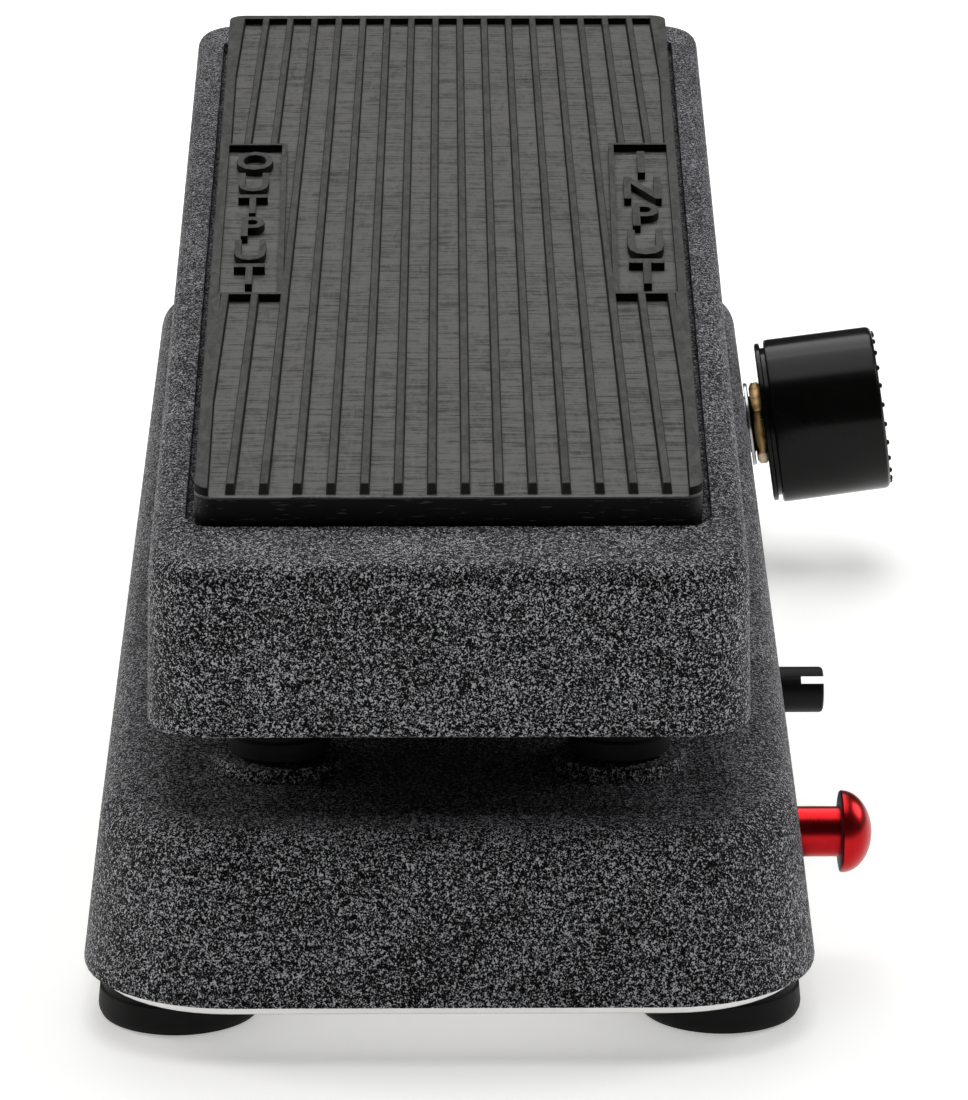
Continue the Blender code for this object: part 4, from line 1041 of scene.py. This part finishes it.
# ------------------------------------------------------------------ mat
def rib(name, x, sizes):
    """One rib from the heel to the toe border, ramped at the heel and cut at the side border."""
    width, rise = sizes.rib / MM, sizes.rise / MM
    low = MAT_FLOOR - 0.4
    bar = block(name, (x - width / 2, MAT_HEEL + 0.12, low),
                (x + width / 2, MAT_TOE - 1.5, MAT_FLOOR + rise))
    edit(bar, "VERT", lambda vertex: vertex.co.z > MAT_FLOOR * MM)
    bpy.ops.transform.resize(value=(0.78, 1, 1), center_override=(x * MM, 0, 0))
    leave()
    edit(bar, "VERT", lambda vertex: vertex.co.z > MAT_FLOOR * MM and vertex.co.y < 0)
    bpy.ops.transform.translate(value=(0, 1.6 * MM, 0))
    leave()
    edge = sizes.border / MM - 0.5
    if x + width > MAT_HEEL_HALF - edge:
        sliced(bar, (MAT_HEEL_HALF - edge, MAT_HEEL, 0), (1, -MAT_SLOPE, 0))
    return bar


def mat_slab(sizes):
    """The mat with its raised side and toe borders, open at the heel."""
    border, rise = sizes.border / MM, sizes.rise / MM
    low = TREADLE_TOP - RECESS_DEPTH + 0.3
    slab = plan("mat", MAT_HEEL_HALF, MAT_TOE_HALF, MAT_HEEL, MAT_TOE, 2.4, low, 6)
    raised(slab, MAT_FLOOR + rise - low)
    reach = 4.0
    tray = plan("tray", MAT_HEEL_HALF - border - MAT_SLOPE * reach,
                MAT_TOE_HALF - border - MAT_SLOPE * 2.0, MAT_HEEL - reach, MAT_TOE - 2.0, 0,
                MAT_FLOOR)
    cut(slab, raised(tray, 4.0))
    return soften(slab, 0.28, 2, 50)


LABEL_HEEL = -30.4
LABEL_TOE = 38.3
LABEL_INNER = 22.2
LABEL_RIM = 0.75
LABEL_LEAN = 0.0247
LABEL_OUTER = MAT_HEEL_HALF + MAT_SLOPE * (LABEL_HEEL - MAT_HEEL) - 1.25
LETTER_WIDTH = 5.2
LETTER_ROOT = 0.4


def label_panel(grow, low, high):
    """The slanting block of a label, drawn out by grow."""
    heel, toe = LABEL_HEEL - grow, LABEL_TOE + grow
    panel = block("panel", (LABEL_INNER - grow, heel, low), (LABEL_OUTER + grow, toe, high))
    edit(panel, "VERT", lambda vertex: vertex.co.y > 0)
    bpy.ops.transform.translate(value=(LABEL_LEAN * (toe - heel) * MM, 0, 0))
    return leave(panel)


def label_word(word, height):
    """A word in stacked raised letters, from the toe to the heel."""
    bpy.ops.object.select_all(action="DESELECT")
    bpy.ops.object.text_add()
    text = bpy.context.object
    text.data.body = "\n".join(word)
    text.data.align_x = "CENTER"
    text.data.size = 9.0 * MM
    text.data.space_line = 0.86
    text.data.resolution_u = 3
    text.data.offset = 0.16 * MM
    text.data.extrude = height / 2 * MM
    bpy.ops.object.convert(target="MESH")
    letters = heal(named("letters"))
    low, high = corners(letters)
    span = LABEL_TOE - LABEL_HEEL - 7.0
    letters.scale = (LETTER_WIDTH / (high.x - low.x), span / (high.y - low.y), 1)
    settle(letters)
    low, high = corners(letters)
    letters.location = (-(low.x + high.x) / 2 * MM, -(low.y + high.y) / 2 * MM, -low.z * MM)
    return settle(letters)


def add_label(mat, side, word, sizes):
    """Sinks a framed label into the mat and raises its word."""
    rise = sizes.rise / MM
    frame_block = label_panel(LABEL_RIM, MAT_FLOOR - 0.5, MAT_FLOOR + rise)
    pocket = label_panel(0.0, MAT_FLOOR - 0.02, MAT_FLOOR + rise + 2.0)
    letters = label_word(word, LETTER_ROOT + rise)
    letters.rotation_euler.z = -side * LABEL_LEAN
    middle = (LABEL_INNER + LABEL_OUTER + LABEL_LEAN * (LABEL_TOE - LABEL_HEEL)) / 2
    letters.location = (side * middle * MM, (LABEL_HEEL + LABEL_TOE) / 2 * MM,
                        (MAT_FLOOR - LETTER_ROOT) * MM)
    settle(letters)
    if side < 0:
        for piece in (frame_block, pocket):
            piece.scale = (-1, 1, 1)
            heal(settle(piece))
    weld(mat, frame_block)
    cut(mat, pocket)
    weld(mat, letters)


class PEDAL_OT_mat(bpy.types.Operator):
    """Rubber tread mat with ribs, borders and two framed labels"""
    bl_idname = "pedal.mat"
    bl_label = "Mat"

    def execute(self, context):
        sizes = context.scene.pedal_mat
        mat = mat_slab(sizes)
        pitch = sizes.pitch / MM
        count = int((MAT_TOE_HALF - sizes.border / MM) / pitch + 0.5)
        ribs = [rib("rib", (index + 0.5) * pitch, sizes) for index in range(count)]
        ribs += [mirrored(each, "rib") for each in list(ribs)]
        weld(mat, soften(join(ribs), 0.10, 1, 50))
        add_label(mat, 1, "INPUT", sizes)
        add_label(mat, -1, "OUTPUT", sizes)
        heal(mat)
        mat.name = mat.data.name = "ribbed_mat"
        seat(mat, "treadle_unit", "mat_rubber", "tread_mat", smooth=40)
        level_normals(mat)
        return {"FINISHED"}


# ------------------------------------------------------------------ pivot and bumpers
class PEDAL_OT_pivot(bpy.types.Operator):
    """Pivot pin, bushes, clips, heel bumpers and toe pad"""
    bl_idname = "pedal.pivot"
    bl_label = "Pivot"

    def execute(self, context):
        pin = [(2.5, -31.5), (3.0, -31.0), (3.0, -30.5), (2.2, -30.5), (2.2, -29.5),
               (3.0, -29.5), (3.0, 29.5), (2.2, 29.5), (2.2, 30.5), (3.0, 30.5), (3.0, 31.0),
               (2.5, 31.5)]
        shaft = lay(turned("axle", pin, 48), (0, 0, 0), (1, 0, 0))
        seat(shaft, "treadle_unit", "plated_steel", "pivot_pin")
        for name, side in (("left", -1), ("right", 1)):
            bush(name, side)
            clip(name, side)
            bumper(name, side)
        y, z = flat(centre("toe_pad").y, centre("toe_pad").z)
        pad = turned("toe_rubber", [(5.4, -0.58), (6.3, -0.4), (6.8, 0.0), (6.8, 0.55)], 40)
        seat(lay(pad, (0, y, z)), "treadle_unit", "foot_rubber", "toe_pad")
        return {"FINISHED"}


def bush(name, side):
    """A flanged bush in its post."""
    profile = [(3.15, 16.0), (4.3, 16.0), (4.5, 16.3), (4.5, 22.3), (5.8, 22.3), (6.0, 22.5),
               (6.0, 23.4), (5.8, 23.6), (3.15, 23.6), (3.15, 16.0)]
    made = turned("bush_" + name, profile, 48, closed=True)
    seat(lay(made, (0, 0, PIVOT), (side, 0, 0)), "base", "nylon",
         "pivot_bush_" + name)


def clip(name, side):
    """An open retaining clip in the pin's groove."""
    ring = turned("clip_" + name, [(2.5, 29.65), (5.0, 29.65), (5.0, 30.35), (2.5, 30.35),
                                   (2.5, 29.65)], 48, closed=True)
    lay(ring, (0, 0, 0), (side, 0, 0))
    gap = block("gap", (-40, 0, -1.9), (40, 8, 1.9))
    cut(ring, gap)
    soften(ring, 0.08, 1)
    seat(ring, "treadle_unit", "plated_steel", "pivot_clip_" + name)


def bumper(name, side):
    """A moulded heel bumper."""
    node = "heel_bumper_" + name
    low, high = extent(node)
    rise = high.z - low.z
    profile = [(5.6, 0.0), (6.0, 0.3), (6.0, 2.2), (5.5, 2.5), (5.5, rise - 3.0),
               (5.2, rise - 1.7), (4.3, rise - 0.7), (2.8, rise - 0.15), (1.2, rise)]
    place = centre(node)
    seat(lay(turned("bumper_" + name, profile, 40), (place.x, place.y, low.z)), "base",
         "foot_rubber", node)


# ------------------------------------------------------------------ wall controls
def hexagon(name, flats, hole, start, end, place, towards):
    """A chamfered hexagon nut."""
    across = flats / 2 / math.cos(math.pi / 6)
    nut = turned(name, [(across, start), (across, end)], 6)
    trim = turned("trim", [(flats / 2 - 0.1, start), (across * 1.02, start + 0.5),
                           (across * 1.02, end - 0.5), (flats / 2 - 0.1, end)], 48)
    combine(nut, trim, "INTERSECT")
    cut(nut, turned("hole", [(hole, start - 1), (hole, end + 1)], 40))
    soften(nut, 0.10, 2, 25)
    return lay(nut, place, towards)


def ring(name, outer, hole, start, end, place, towards):
    """A washer with worn edges."""
    profile = [(hole, start), (outer - 0.1, start), (outer, start + 0.1), (outer, end - 0.15),
               (outer - 0.15, end), (hole, end), (hole, start)]
    return lay(turned(name, profile, 48, closed=True), place, towards)


def knob_profile():
    """Section of the knob: skirt, groove, barrel and dished face."""
    return [(3.1, 17.7), (3.3, 6.6), (8.0, 6.6), (8.0, 2.8), (12.35, 2.8), (12.6, 3.0),
            (12.6, 3.5), (12.45, 3.65), (11.8, 3.7), (11.8, 4.25), (12.75, 4.3), (12.97, 4.5),
            (13.0, 4.9), (12.92, 20.6), (12.75, 21.1), (12.4, 21.4), (12.0, 21.5),
            (10.9, 21.5), (10.6, 21.25), (10.2, 21.0), (3.0, 20.9)]


def knob():
    """The range knob: glossy barrel with a ring of nubs and a pointer groove."""
    count = bpy.context.scene.pedal_controls.nubs
    barrel = turned("knob", knob_profile(), 96)
    nub = turned("nub", [(0.42, 21.2), (0.42, 21.62), (0.30, 21.8), (0.14, 21.86)], 12)
    nubs = []
    for index in range(count):
        angle = 2 * math.pi * index / count
        nubs.append(copied(nub, (11.75 * math.cos(angle), 11.75 * math.sin(angle), 0)))
    bpy.data.objects.remove(nub)
    weld(barrel, join(nubs))
    pointer = block("pointer", (-0.45, 2.0, 20.55), (0.45, 10.4, 23.0))
    cut(barrel, pointer)
    start, normal = range_axis()
    seat(lay(barrel, start, normal), "range_unit", "knob_plastic",
         "range_knob")


def switch_body():
    """The rotary switch inside the wall, with its threaded neck."""
    profile = [(3.3, -12.9), (3.3, 4.4), (4.2, 4.4), (4.5, 4.1)]
    for step in range(7):
        height = 3.9 - 0.5 * step
        profile += [(4.5, height), (4.28, height - 0.25), (4.5, height - 0.5)]
    profile += [(4.5, -3.5), (10.4, -3.5), (10.8, -4.0), (10.8, -15.5), (10.0, -16.2)]
    body = turned("rotary_switch", profile, 48)
    body.data.materials.append(look("black_plastic"))
    body.data.materials.append(look("plated_steel"))
    for face in body.data.polygons:
        if face.center.z > -3.4 * MM:
            face.material_index = 1
    start, normal = range_axis()
    seat(lay(body, start, normal), "base", "black_plastic", "range_switch_body")


class PEDAL_OT_range(bpy.types.Operator):
    """Range control: knob, nut, washer and rotary switch"""
    bl_idname = "pedal.range"
    bl_label = "Range knob"

    def execute(self, context):
        start, normal = range_axis()
        knob()
        switch_body()
        nut = hexagon("knob_nut", 11.6, 4.9, 1.1, 3.0, start, normal)
        seat(nut, "base", "brass_nut", "range_nut")
        washer = ring("knob_washer", 6.6, 4.9, 0.3, 0.9, start, normal)
        seat(washer, "base", "plated_steel", "range_washer")
        return {"FINISHED"}


class PEDAL_OT_level(bpy.types.Operator):
    """Level control: slotted shaft"""
    bl_idname = "pedal.level"
    bl_label = "Level shaft"

    def execute(self, context):
        low, high = extent("level_shaft")
        middle = (low + high) / 2
        reach = high.x - low.x
        profile = [(3.0, 0.0), (3.0, reach - 0.45), (2.86, reach - 0.12), (2.6, reach)]
        shaft = turned("slotted_shaft", profile, 48)
        lay(shaft, (low.x, middle.y, middle.z), (1, 0, 0))
        slot = block("slot", (high.x - 3.0, -5.0, 0.75), (high.x + 1.0, 5.0, 1.7))
        slot.rotation_euler.x = math.radians(-17)
        slot.location = (0, middle.y * MM, middle.z * MM)
        cut(shaft, settle(slot))
        soften(shaft, 0.08, 1, 50)
        seat(shaft, "level_unit", "black_plastic", "level_shaft")
        return {"FINISHED"}


class PEDAL_OT_boost(bpy.types.Operator):
    """Boost control: mushroom push button"""
    bl_idname = "pedal.boost"
    bl_label = "Boost button"

    def execute(self, context):
        low, high = extent("boost_button")
        middle = (low + high) / 2
        reach = high.x - low.x
        under = reach - 3.85
        profile = [(2.6, 0.0), (3.0, 0.4), (3.0, under), (4.5, under), (4.78, under + 0.06),
                   (4.9, under + 0.25)]
        for step in range(1, 12):
            angle = math.radians(7.5 * step)
            profile.append((4.9 * math.cos(angle), under + 0.25 + 3.6 * math.sin(angle)))
        button = turned("push_button", profile, 64)
        button.data.materials.append(look("red_anodised"))
        button.data.materials.append(look("underside"))
        for face in button.data.polygons:
            if face.normal.z < -0.9 and face.center.z > 1 * MM:
                face.material_index = 1
        lay(button, (low.x, middle.y, middle.z), (1, 0, 0))
        seat(button, "boost_unit", "red_anodised", "boost_button", smooth=35)
        return {"FINISHED"}


# ------------------------------------------------------------------ sockets and footswitch
def jack(name, node, side):
    """A quarter-inch socket with a chamfered nose and a stepped bore."""
    low, high = extent(node)
    middle = (low + high) / 2
    wall = wall_x(middle.y, SOCKET_Z)
    inner = wall - WALL - 1.0
    near, far = sorted((side * inner, side * (inner - 22.0)))
    body = soften(block(name, (near, middle.y - 7.5, low.z), (far, middle.y + 7.5, high.z)),
                  0.6, 2)
    nose = turned("nose", [(4.6, 0), (4.6, wall - inner + 0.5), (4.3, wall - inner + 0.8)], 56)
    lay(nose, (side * (inner - 2.0), middle.y, SOCKET_Z), (side, 0, 0))
    weld(body, nose)
    bore = turned("bore", [(3.25, 0), (3.25, wall - inner + 18.3), (3.9, wall - inner + 18.9),
                           (3.9, 40)], 48)
    lay(bore, (side * (inner - 20.0), middle.y, SOCKET_Z), (side, 0, 0))
    cut(body, bore)
    seat(body, "base", "black_plastic", node)


def power_inlet():
    """The barrel inlet with its centre pin."""
    node = "dc_inlet"
    low, high = extent(node)
    middle = (low + high) / 2
    wall = wall_x(middle.y, SOCKET_Z)
    inner = wall - WALL - 1.0
    body = block("power_inlet", (-inner, middle.y - 4.5, low.z),
                 (-inner + 13.0, middle.y + 4.5, high.z))
    soften(body, 0.5, 2)
    nose = rod("nose", (-inner + 2, middle.y, SOCKET_Z), 4.4, wall - inner + 0.8, (-1, 0, 0), 48)
    weld(body, nose)
    bore = rod("bore", (-inner + 9.0, middle.y, SOCKET_Z), 2.8, 24.0, (-1, 0, 0), 40)
    cut(body, bore)
    pin = turned("pin", [(1.0, 0), (1.0, 10.6), (0.6, 11.0)], 24)
    weld(body, lay(pin, (-inner + 9.5, middle.y, SOCKET_Z), (-1, 0, 0)))
    seat(body, "base", "black_plastic", node)


class PEDAL_OT_sockets(bpy.types.Operator):
    """Input, output and power sockets"""
    bl_idname = "pedal.sockets"
    bl_label = "Sockets"

    def execute(self, context):
        jack("input_socket", "input_jack", 1)
        jack("output_socket", "output_jack", -1)
        power_inlet()
        return {"FINISHED"}


class PEDAL_OT_footswitch(bpy.types.Operator):
    """Footswitch nut, washer and plunger in the roof"""
    bl_idname = "pedal.footswitch"
    bl_label = "Footswitch"

    def execute(self, context):
        place = centre("footswitch_plunger")
        seat_place = Vector((0, place.y, roof(place.y)))
        up = Vector((0, -ROOF_SLOPE, 1)).normalized()
        nut = hexagon("switch_nut", 14.0, 6.4, 1.5, 3.5, seat_place, up)
        seat(nut, "base", "plated_steel", "footswitch_nut")
        washer = ring("switch_washer", 8.6, 6.4, 0.3, 1.2, seat_place, up)
        seat(washer, "base", "plated_steel", "footswitch_washer")
        low, high = extent("footswitch_plunger")
        rise = high.z - low.z
        profile = [(3.6, 0.0), (4.0, 0.4), (4.0, rise - 1.3), (3.86, rise - 0.7),
                   (3.4, rise - 0.25), (2.4, rise)]
        plunger = lay(turned("switch_plunger", profile, 48), (0, place.y, low.z))
        seat(plunger, "footswitch_unit", "plated_steel",
             "footswitch_plunger")
        return {"FINISHED"}


class PEDAL_OT_inside(bpy.types.Operator):
    """Finishes for the parts that stay as they were made"""
    bl_idname = "pedal.inside"
    bl_label = "Inside parts"

    def execute(self, context):
        slots = {row["node"]: row["material_slot"] for row in frame["record"]["subparts"]}
        for name, obj in frame["nodes"].items():
            obj.data.materials.clear()
            obj.data.materials.append(look(slots[name]))
        return {"FINISHED"}


# ------------------------------------------------------------------ studio
def softbox(name, place, aim, size, power, tint=(1.0, 1.0, 1.0)):
    """A square area light pointed at a place, in metres."""
    bpy.ops.object.light_add(type="AREA", location=place)
    light = bpy.context.object
    light.name = name
    light.data.shape = "SQUARE"
    light.data.size = size
    light.data.energy = power
    light.data.color = tint
    light.rotation_euler = (Vector(place) - Vector(aim)).to_track_quat("Z", "Y").to_euler()


def floor_finish(tone):
    """Pale paper floor, faintly uneven."""
    made = Look("studio floor", specular_ior_level=0.1, roughness=0.9)
    cloud = made.noise(made.place(), 60.0, 3.0)
    made.set("Base Color", made.tones(tone, 0.985, 1.0, cloud))
    made.set("Emission Color", made.tones(tone, 0.985, 1.0, cloud))
    made.set("Emission Strength", 0.42)
    return made.material


class PEDAL_OT_studio(bpy.types.Operator):
    """Pale floor, softboxes and camera"""
    bl_idname = "pedal.studio"
    bl_label = "Studio"

    def execute(self, context):
        studio = context.scene.pedal_studio
        bpy.ops.object.select_all(action="DESELECT")
        bpy.ops.mesh.primitive_plane_add(size=8.0, location=(0, 0, 0))
        floor = named("studio_floor")
        floor.data.materials.append(floor_finish(studio.floor))
        world = bpy.data.worlds.new("studio")
        context.scene.world = world
        world.use_nodes = True
        background = world.node_tree.nodes["Background"]
        background.inputs["Color"].default_value = (1, 1, 1, 1)
        background.inputs["Strength"].default_value = 0.045
        softbox("overhead", (0.0, 0.15, 1.5), (0, 0.0, 0), 1.2, 11.0)
        softbox("left", (-1.2, 0.3, 0.8), (0, 0, 0.05), 0.7, 8.0, (1.0, 0.97, 0.93))
        softbox("right", (1.2, 0.4, 0.8), (0, 0, 0.05), 0.7, 8.0)
        softbox("back", (0.0, 1.2, 1.5), (0, 0, 0.05), 1.0, 9.0)
        bpy.ops.object.camera_add(location=(MIDDLE * MM, -studio.reach, studio.height))
        camera = bpy.context.object
        camera.name = "camera"
        camera.rotation_euler = (math.radians(90) - studio.pitch, 0, math.radians(-0.475))
        camera.data.sensor_width = 36.0
        camera.data.lens = studio.lens
        camera.data.clip_start = 0.01
        context.scene.camera = camera
        context.scene.view_settings.view_transform = "Standard"
        return {"FINISHED"}


class PEDAL_PT_panel(bpy.types.Panel):
    """Builds the pedal piece by piece"""
    bl_idname = "PEDAL_PT_panel"
    bl_label = "Rocker pedal"
    bl_space_type = "VIEW_3D"
    bl_region_type = "UI"
    bl_category = "Pedal"

    def draw(self, context):
        for group in GROUPS:
            sizes = getattr(context.scene, GROUPS[group])
            box = self.layout.box()
            for prop in sizes.bl_rna.properties:
                if prop.identifier not in ("rna_type", "name"):
                    box.prop(sizes, prop.identifier)
        for operator in OPERATORS:
            self.layout.operator(operator.bl_idname)


GROUPS = {PedalCastings: "pedal_castings", PedalMat: "pedal_mat",
          PedalControls: "pedal_controls", PedalStudio: "pedal_studio"}
OPERATORS = (PEDAL_OT_inside, PEDAL_OT_studio, PEDAL_OT_base, PEDAL_OT_underside,
             PEDAL_OT_treadle, PEDAL_OT_mat, PEDAL_OT_pivot, PEDAL_OT_range, PEDAL_OT_level,
             PEDAL_OT_boost, PEDAL_OT_sockets, PEDAL_OT_footswitch)


def register():
    for group, holder in GROUPS.items():
        bpy.utils.register_class(group)
        setattr(bpy.types.Scene, holder, PointerProperty(type=group))
    for operator in OPERATORS:
        bpy.utils.register_class(operator)
    bpy.utils.register_class(PEDAL_PT_panel)


def unregister():
    bpy.utils.unregister_class(PEDAL_PT_panel)
    for operator in reversed(OPERATORS):
        bpy.utils.unregister_class(operator)
    for group, holder in GROUPS.items():
        delattr(bpy.types.Scene, holder)
        bpy.utils.unregister_class(group)


def main():
    """Builds the pedal and its studio."""
    register()
    for operator in OPERATORS:
        getattr(bpy.ops.pedal, operator.bl_idname.split(".")[1])()


if __name__ == "__main__":
    main()
